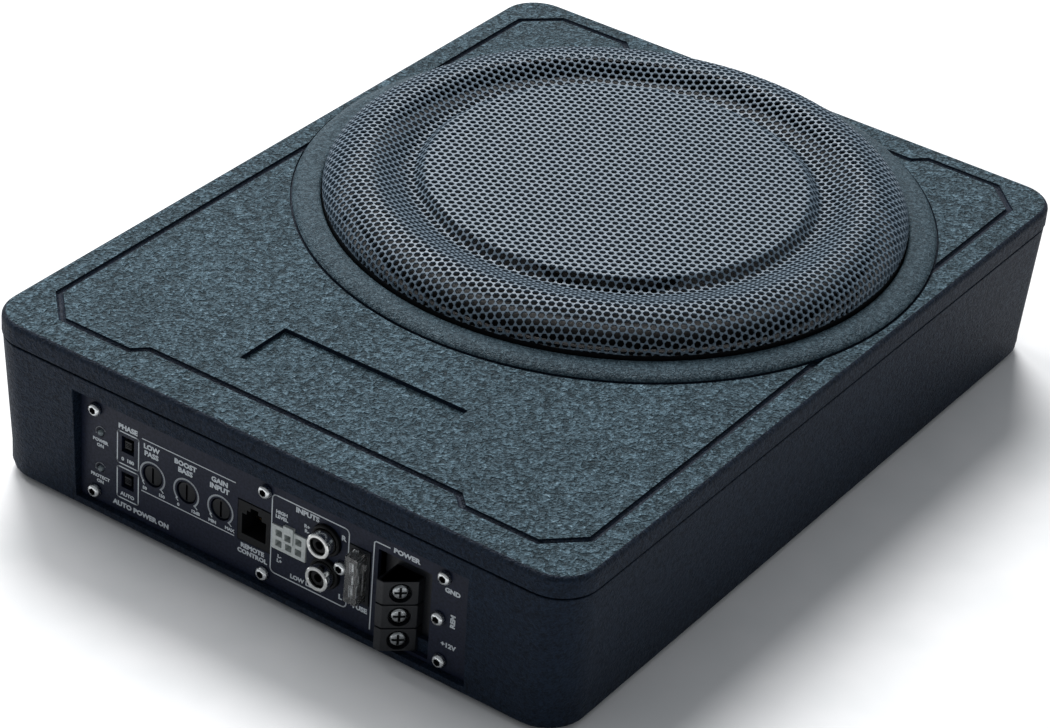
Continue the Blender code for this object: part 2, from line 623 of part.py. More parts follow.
# --- Grille ---------------------------------------------------------------------------
def make_grille():
    """Black ring in the well and the formed sheet that it carries."""
    ring_top = TOP_Z + SKIRT_H
    ring = [(SKIRT_R - 0.4 * MM, ring_top), (SKIRT_R, ring_top - 0.8 * MM), (SKIRT_R, LEDGE_Z + GAP),
            (SKIRT_R - SKIRT_T, LEDGE_Z + GAP), (SKIRT_R - SKIRT_T, ring_top)]
    finish(turned("grille_frame", ring, (0, WELL_Y, 0)), (0.01, 0.011, 0.013), 0.55)

    top = mesh_profile(SKIRT_R, ring_top + GAP + MESH_T)
    leans = (1.0, 0.8, 0.5)
    under = [(radius - lean * MESH_T, height - MESH_T) for (radius, height), lean in zip(top[1:], leans)]
    under += [(radius, height - MESH_T) for radius, height in top[1 + len(leans):]]
    profile = list(reversed(top)) + under
    finish(turned("grille_mesh", profile, (0, WELL_Y, 0), closed=False), (0.3, 0.34, 0.38), 0.4, 0.6)


def mesh_profile(edge, edge_z):
    """Upper surface of the sheet, from its rolled edge in to the axis."""
    crest, crest_z = edge - MESH_CREST_IN, TOP_Z + MESH_CREST_H
    disc, disc_z = edge - MESH_DISC_IN, TOP_Z + MESH_DISC_H
    valley, valley_z = disc + MESH_VALLEY_W, TOP_Z + MESH_VALLEY_H
    points = [(edge, edge_z - MESH_T), (edge, edge_z)]
    steps = 4
    for i in range(1, steps + 1):
        turn = math.pi / 2 * i / steps
        points.append((crest + (edge - crest) * math.cos(turn),
                       edge_z + (crest_z - edge_z) * math.sin(turn)))
    for i in range(1, steps + 1):
        share = i / steps
        drop = (1 - math.cos(math.pi * share)) / 2
        points.append((crest + (valley - crest) * share, crest_z + (valley_z - crest_z) * drop))
    points.append((disc + DISC_ROUND, disc_z - DISC_ROUND / 2))
    points.append((disc, disc_z))
    points.append((0.0, disc_z))
    return points


# --- Woofer ---------------------------------------------------------------------------
def woofer_screw_places():
    """Screws on the basket's rim, between the frame and the surround."""
    turns = [math.tau * (i + 0.5) / WOOFER_SCREWS for i in range(WOOFER_SCREWS)]
    return [(RIM_SCREW_AT * math.cos(turn), WELL_Y + RIM_SCREW_AT * math.sin(turn)) for turn in turns]


def make_motor():
    """Yoke with its pole, ring magnet and top plate."""
    axis = (0, WELL_Y, 0)
    pole_top = TOP_PLATE_Z + TOP_PLATE_T
    yoke = [(0, pole_top), (POLE_R, pole_top), (POLE_R, YOKE_Z + YOKE_T), (YOKE_R, YOKE_Z + YOKE_T),
            (YOKE_R, YOKE_Z), (0, YOKE_Z)]
    finish(turned("yoke", yoke, axis, MID_FACETS, closed=False), (0.25, 0.26, 0.27), 0.45, 1.0)
    magnet = ring_profile(COIL_HOLE_R + 4.5 * MM, MAGNET_R, MAGNET_Z, MAGNET_T)
    finish(turned("magnet", magnet, axis, MID_FACETS), (0.03, 0.03, 0.033), 0.7)
    plate = ring_profile(COIL_HOLE_R, TOP_PLATE_R, TOP_PLATE_Z, TOP_PLATE_T)
    finish(turned("top_plate", plate, axis, MID_FACETS), (0.28, 0.29, 0.3), 0.4, 1.0)


def ring_profile(inner, outer, bottom, height):
    """Profile of a plain ring, its outer side first and downwards."""
    return [(outer, bottom + height), (outer, bottom), (inner, bottom), (inner, bottom + height)]


def make_basket():
    """Steel frame from the rim down to the motor, with windows round its side."""
    wall_r = LEDGE_R - 2 * GAP
    neck_z = RIM_Z - 7.0 * MM
    lower = [(RIM_R, RIM_Z + RIM_T), (RIM_R, RIM_Z), (wall_r, RIM_Z), (wall_r, neck_z),
             (SHELF_R, SHELF_Z - BASKET_T), (SHELF_R - SHELF_W, SHELF_Z - BASKET_T), (HUB_R, HUB_Z)]
    upper = [(HUB_R - BASKET_T / 2, HUB_Z + BASKET_T), (SHELF_R - SHELF_W - BASKET_T / 2, SHELF_Z),
             (SHELF_R - BASKET_T / 2, SHELF_Z), (wall_r - BASKET_T, neck_z + BASKET_T / 2),
             (wall_r - BASKET_T, RIM_Z + RIM_T)]
    hub = COIL_HOLE_R + 4.0 * MM
    profile = lower + [(hub, HUB_Z), (hub, HUB_Z + BASKET_T)] + upper
    basket = turned("basket", profile, (0, WELL_Y, 0), MID_FACETS)
    bm = bmesh.new()
    inner, outer = SHELF_R + 5.0 * MM, wall_r - 6.0 * MM
    for i in range(WINDOWS):
        turn = Matrix.Rotation(math.tau * i / WINDOWS, 4, 'Z')
        place = Matrix.Translation((0, WELL_Y, (SHELF_Z + RIM_Z) / 2)) @ turn
        size = (outer - inner, SHELF_R * WINDOW_SHARE, RIM_Z - SHELF_Z + 8 * BASKET_T)
        centre = Matrix.Translation(((inner + outer) / 2, 0, 0))
        bmesh.ops.create_cube(bm, size=1.0, matrix=place @ centre @ Matrix.Diagonal((*size, 1.0)))
    cut(basket, "basket_windows", bm)
    bm = bmesh.new()
    for x, y in woofer_screw_places():
        put_rod(bm, (x, y, RIM_Z - GAP), (x, y, RIM_Z + 2 * RIM_T), WOOFER_SCREW_R + GAP,
                segments=FINE_FACETS)
    cut(basket, "basket_screw_holes", bm)
    finish(basket, (0.02, 0.022, 0.024), 0.5, 0.6)
    for i, (x, y) in enumerate(woofer_screw_places()):
        make_screw("woofer_screw_%d" % (i + 1), (x, y, RIM_Z + RIM_T + GAP), (0, 0, 1),
                   WOOFER_SCREW_HEAD_R, WOOFER_SCREW_HEAD_H, WOOFER_SCREW_R - GAP / 2, RIM_T + LEDGE_T)


def make_moving_parts():
    """Cone, dust cap and voice coil, and the surround and spider that carry them."""
    axis = (0, WELL_Y, 0)
    neck = FORMER_R + FORMER_T + GAP
    lip = CONE_R - GAP
    start = CONE_R - CONE_LIP
    cone = [(lip, CONE_EDGE_Z), (lip, CONE_EDGE_Z - CONE_T), (start, CONE_EDGE_Z - 2 * CONE_T),
            (neck + CONE_T, CONE_NECK_Z + CONE_T), (neck + CONE_T, CONE_NECK_Z), (neck, CONE_NECK_Z),
            (neck, CONE_NECK_Z + 2 * CONE_T), (start, CONE_EDGE_Z - CONE_T),
            (CONE_R - CONE_LIP / 2, CONE_EDGE_Z)]
    finish(turned("cone", cone, axis, MID_FACETS), (0.02, 0.02, 0.022), 0.6)

    def cone_z(radius):
        share = (radius - neck) / (start - neck)
        return CONE_NECK_Z + 2 * CONE_T + share * (CONE_EDGE_Z - CONE_NECK_Z - 3 * CONE_T)

    steps = 5
    dome = []
    for i in range(steps + 1):
        turn = math.pi / 2 * i / steps
        dome.append((math.sin(turn), math.cos(turn)))
    foot = cone_z(DUST_CAP_R) + GAP
    outside = [(DUST_CAP_R * s, foot + DUST_CAP_H * c) for s, c in dome]
    inside = [((DUST_CAP_R - CONE_T) * s, foot + (DUST_CAP_H - CONE_T) * c) for s, c in reversed(dome)]
    cap = turned("dust_cap", outside + inside, axis, MID_FACETS, closed=False)
    finish(cap, (0.018, 0.018, 0.02), 0.45)

    top = CONE_NECK_Z + 2 * CONE_T
    wind_r = FORMER_R + FORMER_T + WINDING_T
    wind_z = TOP_PLATE_Z + TOP_PLATE_T / 2 - WINDING_H / 2
    former = FORMER_R + FORMER_T
    coil = [(former, top), (former, wind_z + WINDING_H), (wind_r, wind_z + WINDING_H),
            (wind_r, wind_z), (former, wind_z), (FORMER_R, wind_z), (FORMER_R, top)]
    finish(turned("voice_coil", coil, axis, MID_FACETS), (0.45, 0.2, 0.08), 0.4, 0.8)

    roll = roll_points(ROLL_R + ROLL_T / 2)
    under = roll_points(ROLL_R - ROLL_T / 2)
    inner = CONE_R - ROLL_FLANGE
    surround = [(ROLL_EDGE_R, ROLL_Z + ROLL_T), (ROLL_EDGE_R, ROLL_Z), *under, (inner, ROLL_Z),
                (inner, ROLL_Z + ROLL_T), *reversed(roll)]
    finish(turned("surround", surround, axis, MID_FACETS), (0.015, 0.015, 0.016), 0.7)

    rise = SHELF_Z + GAP
    span0, span1 = neck + CONE_T + 2.0 * MM, SHELF_R - SHELF_W - 1.0 * MM
    wave = []
    for i in range(2 * SPIDER_WAVES + 1):
        share = i / (2 * SPIDER_WAVES)
        wave.append((span0 + (span1 - span0) * share,
                     rise + SPIDER_WAVE * abs(math.sin(math.pi * SPIDER_WAVES * share))))
    ends = [(SHELF_R - BASKET_T - 4 * GAP, rise)], [(neck, rise)]
    lower = ends[1] + wave + ends[0]
    spider = [(radius, height + SPIDER_T) for radius, height in reversed(lower)]
    cloth = turned("spider", list(reversed(spider)) + list(reversed(lower)), axis, MID_FACETS)
    finish(cloth, (0.5, 0.33, 0.12), 0.9)


def roll_points(radius):
    """Half circle of the surround's roll, from its outer foot in to its inner one."""
    middle = (ROLL_OUT_R + CONE_R) / 2
    steps = 6
    turns = [math.pi * i / steps for i in range(steps + 1)]
    lift = ROLL_T if radius > ROLL_R else 0.0
    rise = radius - lift
    return [(middle + radius * math.cos(turn), ROLL_Z + lift + rise * math.sin(turn)) for turn in turns]


# --- Control panel --------------------------------------------------------------------
def make_panel():
    """Flat plate with a cut-out for each control and socket."""
    back = PANEL_DEEP + PANEL_T
    bm = bmesh.new()
    panel_box(bm, -PANEL_W / 2, PANEL_W / 2, PANEL_Z0, PANEL_Z1, PANEL_DEEP, back)
    panel = from_bmesh("control_panel", bm)
    front = PANEL_DEEP - GAP
    back += GAP
    bm = bmesh.new()
    for x, height in (*PANEL_SCREWS.values(), INPUT_SCREW):
        panel_rod(bm, x, height, front, back, PANEL_SCREW_R + SCREW_CLEAR, FINE_FACETS)
    for height in LED_HEIGHTS.values():
        panel_rod(bm, LED_X, height, front, back, LED_R + GAP, FINE_FACETS)
    for height in (PHASE_H, POWER_H):
        put_window(bm, SWITCH_X, height, *SWITCH_WINDOW, front, back)
    for x in POT_X:
        panel_rod(bm, x, POT_H, front, back, POT_HOLE_R)
    put_window(bm, *JACK, JACK_W + 2 * GAP, JACK_H + 2 * GAP, front, back)
    for height in RCA_HEIGHTS.values():
        panel_rod(bm, RCA_X, height, front, back, RCA_COLLAR_R + GAP)
    put_window(bm, *FUSE, HOLDER_W + 2 * GAP, HOLDER_H + 2 * GAP, front, back)
    panel_box(bm, TERMINAL_X0, TERMINAL_X1, TERMINAL_Z0, TERMINAL_Z1, front, back)
    cut(panel, "panel_cutouts", bm)
    bm = bmesh.new()
    latch_w, latch_h = HEADER_LATCH
    put_window(bm, *HEADER, HEADER_W + 2 * GAP, HEADER_H + 2 * GAP, front, back)
    cut(panel, "header_cutout", bm)
    bm = bmesh.new()
    middle = HEADER[1] + HEADER_H / 2
    put_window(bm, HEADER[0], middle, latch_w + 2 * GAP, 2 * latch_h + 2 * GAP, front - GAP, back + GAP)
    cut(panel, "latch_cutout", bm)
    finish(panel, (0.014, 0.018, 0.026), 0.42)


def put_window(bm, x, height, width, tall, depth0, depth1):
    """Add a box centred on a place of the panel."""
    panel_box(bm, x - width / 2, x + width / 2, height - tall / 2, height + tall / 2, depth0, depth1)


def make_panel_screws():
    """Screws that hold the panel and the input block."""
    for name, (x, height) in (*PANEL_SCREWS.items(), ("panel_screw_inputs", INPUT_SCREW)):
        seat = at_panel(x, height, PANEL_DEEP - GAP)
        make_screw(name, seat, (0, -1, 0), PANEL_SCREW_HEAD_R, PANEL_SCREW_HEAD_H, PANEL_SCREW_R,
                   PANEL_T + PANEL_SCREW_L)


def make_leds():
    """Indicator lamps at the panel's left end."""
    for name, height in LED_HEIGHTS.items():
        bm = bmesh.new()
        panel_rod(bm, LED_X, height, PANEL_DEEP - LED_R / 2, PART_DEEP * 0.7, LED_R, FINE_FACETS)
        finish(from_bmesh(name, bm), (0.35, 0.38, 0.4), 0.2)


def add_foot(thing, x0, x1, height, back=PART_DEEP):
    """Join a foot to a panel part that carries it down to the board, behind the frame."""
    bm = bmesh.new()
    panel_box(bm, x0, x1, PARTS_Z - BASE_Z, height, FRAME_BACK + GAP, back - GAP)
    join(thing, thing.name + "_foot", bm)


def make_switch(name, height, foot):
    """Slide switch: a body behind its window and a knob that moves up and down in it."""
    front = PANEL_DEEP + PANEL_T + GAP
    wide, tall = SWITCH_BODY
    back = PART_DEEP if foot else PART_DEEP - 4.0 * MM
    knob_w, knob_h = SWITCH_KNOB
    bm = bmesh.new()
    put_window(bm, SWITCH_X, height, wide, tall, front, back)
    body = from_bmesh(name + "_body", bm)
    if foot:
        bm = bmesh.new()
        panel_box(bm, SWITCH_X - wide / 3, SWITCH_X + wide / 3, PARTS_Z - BASE_Z, height,
                  back - 3.0 * MM, back + GAP)
        join(body, name + "_leg", bm)
    else:
        add_foot(body, SWITCH_X - wide / 3, SWITCH_X + wide / 3, height, back)
    bm = bmesh.new()
    slot = knob_h + 2 * SWITCH_THROW + 2 * GAP
    put_window(bm, SWITCH_X, height, knob_w + 2 * GAP, slot, front - GAP, front + 3.0 * MM + GAP)
    cut(body, name + "_slot", bm)
    finish(body, (0.015, 0.015, 0.018), 0.5)
    bm = bmesh.new()
    put_window(bm, SWITCH_X, height, knob_w, knob_h, PANEL_DEEP + GAP, front + 3.0 * MM)
    knob = from_bmesh(name + "_knob", bm, origin=at_panel(SWITCH_X, height, front))
    finish(knob, (0.02, 0.02, 0.022), 0.45)


def make_pots():
    """Three rotary controls with slotted discs set level with the panel."""
    front = PANEL_DEEP + PANEL_T + 2 * GAP
    shaft_end = front + 5.0 * MM
    for name, x in zip(POT_NAMES, POT_X):
        bm = bmesh.new()
        panel_box(bm, x - POT_BODY_W / 2, x + POT_BODY_W / 2, OPENING_LOW + GAP, POT_H + POT_BODY_TOP,
                  front, PART_DEEP)
        body = from_bmesh(name + "_body", bm)
        add_foot(body, x - POT_BODY_W / 3, x + POT_BODY_W / 3, POT_H)
        bm = bmesh.new()
        panel_rod(bm, x, POT_H, front - GAP, shaft_end + GAP, POT_SHAFT_R + GAP)
        cut(body, name + "_bore", bm)
        finish(body, (0.03, 0.03, 0.035), 0.5)

        axis = at_panel(x, POT_H, front)
        bm = bmesh.new()
        panel_rod(bm, x, POT_H, PANEL_DEEP + GAP, front - GAP, POT_KNOB_R)
        knob = from_bmesh(name + "_knob", bm, origin=axis)
        bm = bmesh.new()
        panel_rod(bm, x, POT_H, front - 3 * GAP, shaft_end, POT_SHAFT_R)
        join(knob, name + "_shaft", bm)
        bm = bmesh.new()
        put_window(bm, x, POT_H, 1.1 * MM, 2.4 * POT_KNOB_R, PANEL_DEEP, PANEL_DEEP + 3.5 * GAP)
        cut(knob, name + "_slot", bm)
        finish(knob, (0.012, 0.012, 0.015), 0.35)


def make_jack():
    """Remote control socket with a stepped latch opening."""
    x, height = JACK
    front = PANEL_DEEP - GAP
    hole_w, hole_h = JACK_HOLE
    hole_z = height - JACK_HOLE_DROP
    bm = bmesh.new()
    put_window(bm, x, height, JACK_W, JACK_H, front, PART_DEEP)
    jack = from_bmesh("remote_jack", bm)
    add_foot(jack, x - JACK_W / 2 + GAP, x + JACK_W / 2 - GAP, height - JACK_H / 2 + 2 * GAP)
    depth = PART_DEEP - 2.4 * MM
    steps = ((1.0, hole_h / 2), (0.62, hole_h / 2 + 1.8 * MM), (0.32, hole_h / 2 + 3.4 * MM))
    for i, (share, up) in enumerate(steps):
        bm = bmesh.new()
        half = hole_w * share / 2
        panel_box(bm, x - half, x + half, hole_z - hole_h / 2 + i * GAP, hole_z + up,
                  front - GAP, depth + i * GAP)
        cut(jack, "jack_hole_%d" % i, bm)
    finish(jack, (0.01, 0.01, 0.012), 0.4)


def make_header():
    """White six-way input socket with a latch bump on top."""
    x, height = HEADER
    front = PANEL_DEEP - GAP
    latch_w, latch_h = HEADER_LATCH
    bm = bmesh.new()
    put_window(bm, x, height, HEADER_W, HEADER_H, front, PART_DEEP)
    header = from_bmesh("input_header", bm)
    add_foot(header, x - HEADER_W / 2 + GAP, x + HEADER_W / 2 - GAP, height - HEADER_H / 2 + 2 * GAP)
    bm = bmesh.new()
    panel_box(bm, x - latch_w / 2, x + latch_w / 2, height, height + HEADER_H / 2 + latch_h,
              front - 2 * GAP, PANEL_DEEP + PANEL_T + 4 * GAP)
    join(header, "header_latch", bm)
    bm = bmesh.new()
    for column in (-1, 0, 1):
        for row in (-0.5, 0.5):
            put_window(bm, x + column * HEADER_PITCH, height + row * HEADER_PITCH, HEADER_HOLE, HEADER_HOLE,
                       front - 3 * GAP, front + 7.0 * MM)
    cut(header, "header_holes", bm)
    finish(header, (0.62, 0.64, 0.64), 0.45)


def make_rca():
    """Line inputs: a black block with two collars, and a bright shell in each."""
    x0, x1, top = RCA_BLOCK
    front = PANEL_DEEP + PANEL_T + GAP
    collar = PANEL_DEEP - 1.4 * MM
    core = RCA_SHELL_R - RCA_SHELL_T - GAP
    bottom = front + 1.2 * MM
    bm = bmesh.new()
    panel_box(bm, x0, x1, OPENING_LOW + GAP, top, front, PART_DEEP)
    block = from_bmesh("rca_block", bm)
    add_foot(block, x0 + GAP, x1 - GAP, OPENING_LOW + 2 * GAP)
    stages = (
        ("collars", 'UNION', collar, front + GAP, RCA_COLLAR_R),
        ("wells", 'DIFFERENCE', collar - GAP, bottom, RCA_SHELL_R + GAP),
        ("cores", 'UNION', PANEL_DEEP - RCA_PROUD + 1.2 * MM, bottom + GAP, core),
        ("pin_holes", 'DIFFERENCE', -RCA_PROUD, bottom, RCA_PIN_R),
    )
    for label, operation, depth0, depth1, radius in stages:
        bm = bmesh.new()
        for height in RCA_HEIGHTS.values():
            panel_rod(bm, RCA_X, height, depth0, depth1, radius)
        combine(block, from_bmesh("rca_" + label, bm, CUTTERS), operation)
    bm = bmesh.new()
    panel_rod(bm, *INPUT_SCREW, front - GAP, front + PANEL_SCREW_L + GAP, PANEL_SCREW_R + SCREW_CLEAR,
              FINE_FACETS)
    cut(block, "rca_screw_hole", bm)
    finish(block, (0.012, 0.012, 0.014), 0.5)

    for name, height in RCA_HEIGHTS.items():
        bm = bmesh.new()
        panel_rod(bm, RCA_X, height, PANEL_DEEP - RCA_PROUD, bottom - GAP, RCA_SHELL_R)
        shell = from_bmesh(name, bm)
        bm = bmesh.new()
        panel_rod(bm, RCA_X, height, -RCA_PROUD, bottom, RCA_SHELL_R - RCA_SHELL_T)
        cut(shell, name + "_bore", bm)
        finish(shell, (0.75, 0.76, 0.77), 0.2, 1.0)


def make_fuse():
    """Upright blade fuse and the holder that it pulls out of."""
    x, height = FUSE
    front = PANEL_DEEP - GAP
    seat = PANEL_DEEP - FUSE_PROUD + FUSE_BODY_L
    thick, wide, long = FUSE_BLADE
    bm = bmesh.new()
    put_window(bm, x, height, HOLDER_W, HOLDER_H, front, PART_DEEP)
    holder = from_bmesh("fuse_holder", bm)
    add_foot(holder, x - HOLDER_W / 2 + GAP, x + HOLDER_W / 2 - GAP, height - HOLDER_H / 2 + 2 * GAP)
    bm = bmesh.new()
    put_window(bm, x, height, FUSE_W + 2 * GAP, FUSE_H + 2 * GAP, front - GAP, seat + GAP)
    cut(holder, "holder_well", bm)
    bm = bmesh.new()
    for side in (-1, 1):
        put_window(bm, x, height + side * FUSE_BLADE_OUT, thick + 2 * GAP, wide + 2 * GAP,
                   seat, seat + long + GAP)
    cut(holder, "blade_slots", bm)
    finish(holder, (0.012, 0.012, 0.014), 0.5)

    bm = bmesh.new()
    put_window(bm, x, height, FUSE_W, FUSE_H, PANEL_DEEP - FUSE_PROUD, seat)
    fuse = from_bmesh("fuse", bm, origin=at_panel(x, height, seat))
    bm = bmesh.new()
    for side in (-1, 1):
        put_window(bm, x, height + side * FUSE_BLADE_OUT, thick, wide, seat - GAP, seat + long)
    join(fuse, "fuse_blades", bm)
    finish(fuse, (0.55, 0.6, 0.62), 0.15)


def cell_outline(inset):
    """Cells' outline from above: a short nose, then a face turned towards the side."""
    front = FRONT_Y + PANEL_DEEP - CELL_FRONT + inset
    corner = FRONT_Y + PANEL_DEEP + PANEL_T / 2
    back = FRONT_Y + PANEL_DEEP + PANEL_T + 4.0 * MM
    return [(CELL_LEFT + inset, front), (CELL_LEFT + CELL_NOSE, front), (CELL_RIGHT - inset, corner),
            (CELL_RIGHT - inset, back), (CELL_LEFT + inset, back)]


def cell_screw_axis():
    """Middle of the cells' turned face and its outward direction, from above."""
    start = Vector(cell_outline(0.0)[1])
    end = Vector(cell_outline(0.0)[2])
    along = (end - start).normalized()
    return (start + end) / 2, Vector((along.y, -along.x))


def make_terminals():
    """Supply terminals: a back plate, three cells with screw wells, and their screws."""
    back = PANEL_DEEP + PANEL_T + 2.6 * MM
    bm = bmesh.new()
    panel_box(bm, TERMINAL_X0 + GAP, TERMINAL_X1 - GAP, CELL_Z0, TERMINAL_Z1 - GAP,
              back, back + CELL_BASE_T)
    block = from_bmesh("terminal_block", bm)
    bottom = BASE_Z + CELL_Z0
    core = prism("cell_core", cell_outline(CELL_CORE_IN), bottom + GAP,
                 bottom + CELLS * CELL_PITCH - 2 * GAP, CUTTERS)
    combine(block, core, 'UNION')
    middle, out = cell_screw_axis()
    places = []
    for i in range(CELLS):
        low = bottom + i * CELL_PITCH
        cell = prism("cell_%d" % i, cell_outline(0.0), low, low + CELL_PITCH - CELL_GAP, CUTTERS)
        combine(block, cell, 'UNION')
        places.append(Vector((middle.x, middle.y, low + (CELL_PITCH - CELL_GAP) / 2)))
    way = Vector((out.x, out.y, 0.0))
    shank = 3.0 * MM
    for label, radius, deep in (("wells", CELL_WELL_R, CELL_WELL_DEEP),
                                ("threads", CELL_SCREW_R + GAP, CELL_WELL_DEEP + shank + GAP)):
        bm = bmesh.new()
        for place in places:
            put_rod(bm, place + way * GAP, place - way * deep, radius)
        cut(block, "terminal_" + label, bm)
    finish(block, (0.02, 0.021, 0.023), 0.45)
    for name, place in zip(CELL_NAMES, places):
        make_screw(name, place - way * (CELL_WELL_DEEP - GAP), way,
                   CELL_SCREW_HEAD_R, CELL_SCREW_HEAD_H, CELL_SCREW_R, shank)


# --- Amplifier ------------------------------------------------------------------------
def board_holes():
    """Places of the standoffs under the board: X and depth."""
    edge = 6.0 * MM
    return [(x, depth) for x in (BOARD_X0 + edge, BOARD_X1 - edge) for depth in
            (BOARD_NOTCH + 2 * edge, BOARD_BACK - edge)]


def make_board():
    """Circuit board with its chips and soldered capacitor, notched behind the terminals."""
    bm = bmesh.new()
    panel_box(bm, BOARD_X0, BOARD_X1, BOARD_H, BOARD_H + BOARD_T, BOARD_FRONT, BOARD_BACK)
    board = from_bmesh("amp_board", bm)
    bm = bmesh.new()
    panel_box(bm, TERMINAL_X0 - 2 * GAP, BOARD_X1 + GAP, 0, BOARD_H + 2 * BOARD_T,
              BOARD_FRONT - GAP, BOARD_NOTCH)
    cut(board, "board_notch", bm)
    bm = bmesh.new()
    for x, depth, wide, deep in CHIPS:
        panel_box(bm, x, x + wide, BOARD_H + BOARD_T / 2, BOARD_H + BOARD_T + CHIP_H,
                  depth, depth + deep)
    join(board, "chips", bm)
    x, depth, radius, height = CAPACITOR
    bm = bmesh.new()
    panel_foot = at_panel(x, BOARD_H + BOARD_T / 2, depth)
    put_rod(bm, panel_foot, panel_foot + Vector((0, 0, height)), radius, segments=FACETS)
    join(board, "capacitor", bm)
    finish(board, (0.01, 0.09, 0.04), 0.5)


def make_power_parts():
    """Toroid and finned heat sink, standing on the board."""
    x, depth, ring_r, wire_r = COIL
    steps = 8
    turns = [math.tau * i / steps for i in range(steps)]
    centre = at_panel(x, 0, depth)
    centre.z = PARTS_Z + wire_r
    wire = [(ring_r + wire_r * math.cos(turn), centre.z - wire_r * math.sin(turn)) for turn in turns]
    finish(turned("toroid", wire, centre, FACETS), (0.5, 0.25, 0.1), 0.4, 0.6)

    x0, x1, depth0, depth1, height = SINK
    low = PARTS_Z - BASE_Z
    bm = bmesh.new()
    panel_box(bm, x0, x1, low, low + SINK_BASE_T, depth0, depth1)
    sink = from_bmesh("heat_sink", bm)
    pitch = (x1 - x0 - SINK_FIN_T) / (SINK_FINS - 1)
    bm = bmesh.new()
    for i in range(SINK_FINS):
        left = x0 + i * pitch
        panel_box(bm, left, left + SINK_FIN_T, low + SINK_BASE_T / 2, low + height,
                  depth0 + GAP, depth1 - GAP)
    join(sink, "fins", bm)
    finish(sink, (0.5, 0.51, 0.52), 0.4, 1.0)


make_tub()
make_cover()
make_feet()
make_cover_screws()
make_grille()
make_motor()
make_basket()
make_moving_parts()
make_panel()
make_panel_screws()
make_leds()
make_switch("phase_switch", PHASE_H, foot=True)
make_switch("power_switch", POWER_H, foot=False)
make_pots()
make_jack()
make_header()
make_rca()
make_fuse()
make_terminals()
make_board()
make_power_parts()
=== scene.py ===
"""Looks of a powered under-seat car subwoofer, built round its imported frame.

Metres, +Z up. The control panel faces -Y, and the origin is on the floor under the middle
of the enclosure. Sizes are in metres, but finishes and the panel's parts are in millimetres.
Heights on the control panel are counted from the enclosure's bottom, which stands on rubber
feet, and depths from its front.
"""
import logging
import math
from dataclasses import dataclass, field
from enum import Enum
from typing import Optional, Sequence

import bmesh
import bpy
import numpy as np
from mathutils import Matrix, Vector


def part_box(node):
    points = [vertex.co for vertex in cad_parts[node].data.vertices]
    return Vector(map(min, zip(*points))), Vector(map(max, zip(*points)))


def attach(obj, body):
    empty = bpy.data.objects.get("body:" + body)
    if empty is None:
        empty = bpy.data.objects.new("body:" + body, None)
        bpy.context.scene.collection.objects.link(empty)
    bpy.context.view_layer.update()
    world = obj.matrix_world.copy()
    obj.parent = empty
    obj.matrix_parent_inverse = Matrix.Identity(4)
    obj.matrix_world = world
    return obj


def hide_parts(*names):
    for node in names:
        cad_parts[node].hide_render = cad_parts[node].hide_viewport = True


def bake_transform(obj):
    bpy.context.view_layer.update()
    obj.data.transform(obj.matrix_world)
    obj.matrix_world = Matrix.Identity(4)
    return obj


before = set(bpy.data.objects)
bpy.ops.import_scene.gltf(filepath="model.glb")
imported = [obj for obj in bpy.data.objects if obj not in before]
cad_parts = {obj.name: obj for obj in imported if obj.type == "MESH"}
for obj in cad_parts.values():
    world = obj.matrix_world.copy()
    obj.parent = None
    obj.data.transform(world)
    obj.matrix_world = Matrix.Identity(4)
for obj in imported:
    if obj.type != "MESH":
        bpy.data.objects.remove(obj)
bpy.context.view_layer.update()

LOG = logging.getLogger("subwoofer")
MM = 0.001
GAP = 0.3 * MM            # least step between surfaces that would else lie in one plane
FORWARD = (0.0, -1.0, 0.0)
FIXED = "enclosure"       # the body that everything still rides on

Point = tuple[float, float]
BMesh = bmesh.types.BMesh
Piece = bpy.types.Object
NodeTree = bpy.types.NodeTree


# --- Colour and node tools ------------------------------------------------------------
def linear(code: str) -> tuple[float, float, float, float]:
    """Turn an sRGB hex colour to linear RGBA.

    Args:
        code: The colour, such as "#1a2230".
    Returns:
        Red, green, blue and alpha for a shader socket.
    """
    values = [int(code[i:i + 2], 16) / 255 for i in (1, 3, 5)]
    light = [v / 12.92 if v <= 0.04045 else ((v + 0.055) / 1.055) ** 2.4 for v in values]
    return (light[0], light[1], light[2], 1.0)


def add_node(tree: NodeTree, kind: str, values: Optional[dict] = None,
             links: Optional[dict] = None, **settings: object) -> bpy.types.Node:
    """Add a shader node with its settings, socket values and incoming links.

    Args:
        tree: The material's node tree.
        kind: The node's type without its "ShaderNode" prefix.
        values: Socket name or number to value.
        links: Socket name or number to the output that feeds it.
        settings: Properties of the node itself.
    Returns:
        The new node.
    """
    node = tree.nodes.new("ShaderNode" + kind)
    for key, value in settings.items():
        setattr(node, key, value)
    for key, value in (values or {}).items():
        node.inputs[key].default_value = value
    for key, socket in (links or {}).items():
        tree.links.new(socket, node.inputs[key])
    return node


class Pattern(Enum):
    """How the small pattern of a finish is drawn."""

    GRAIN = "wrinkled leather grain of a thick coat"
    SPECKLE = "fine even roughness of a moulded or sprayed surface"
    BRUSHED = "long scratches of rolled or drawn metal"
    WEAVE = "threads over and under"


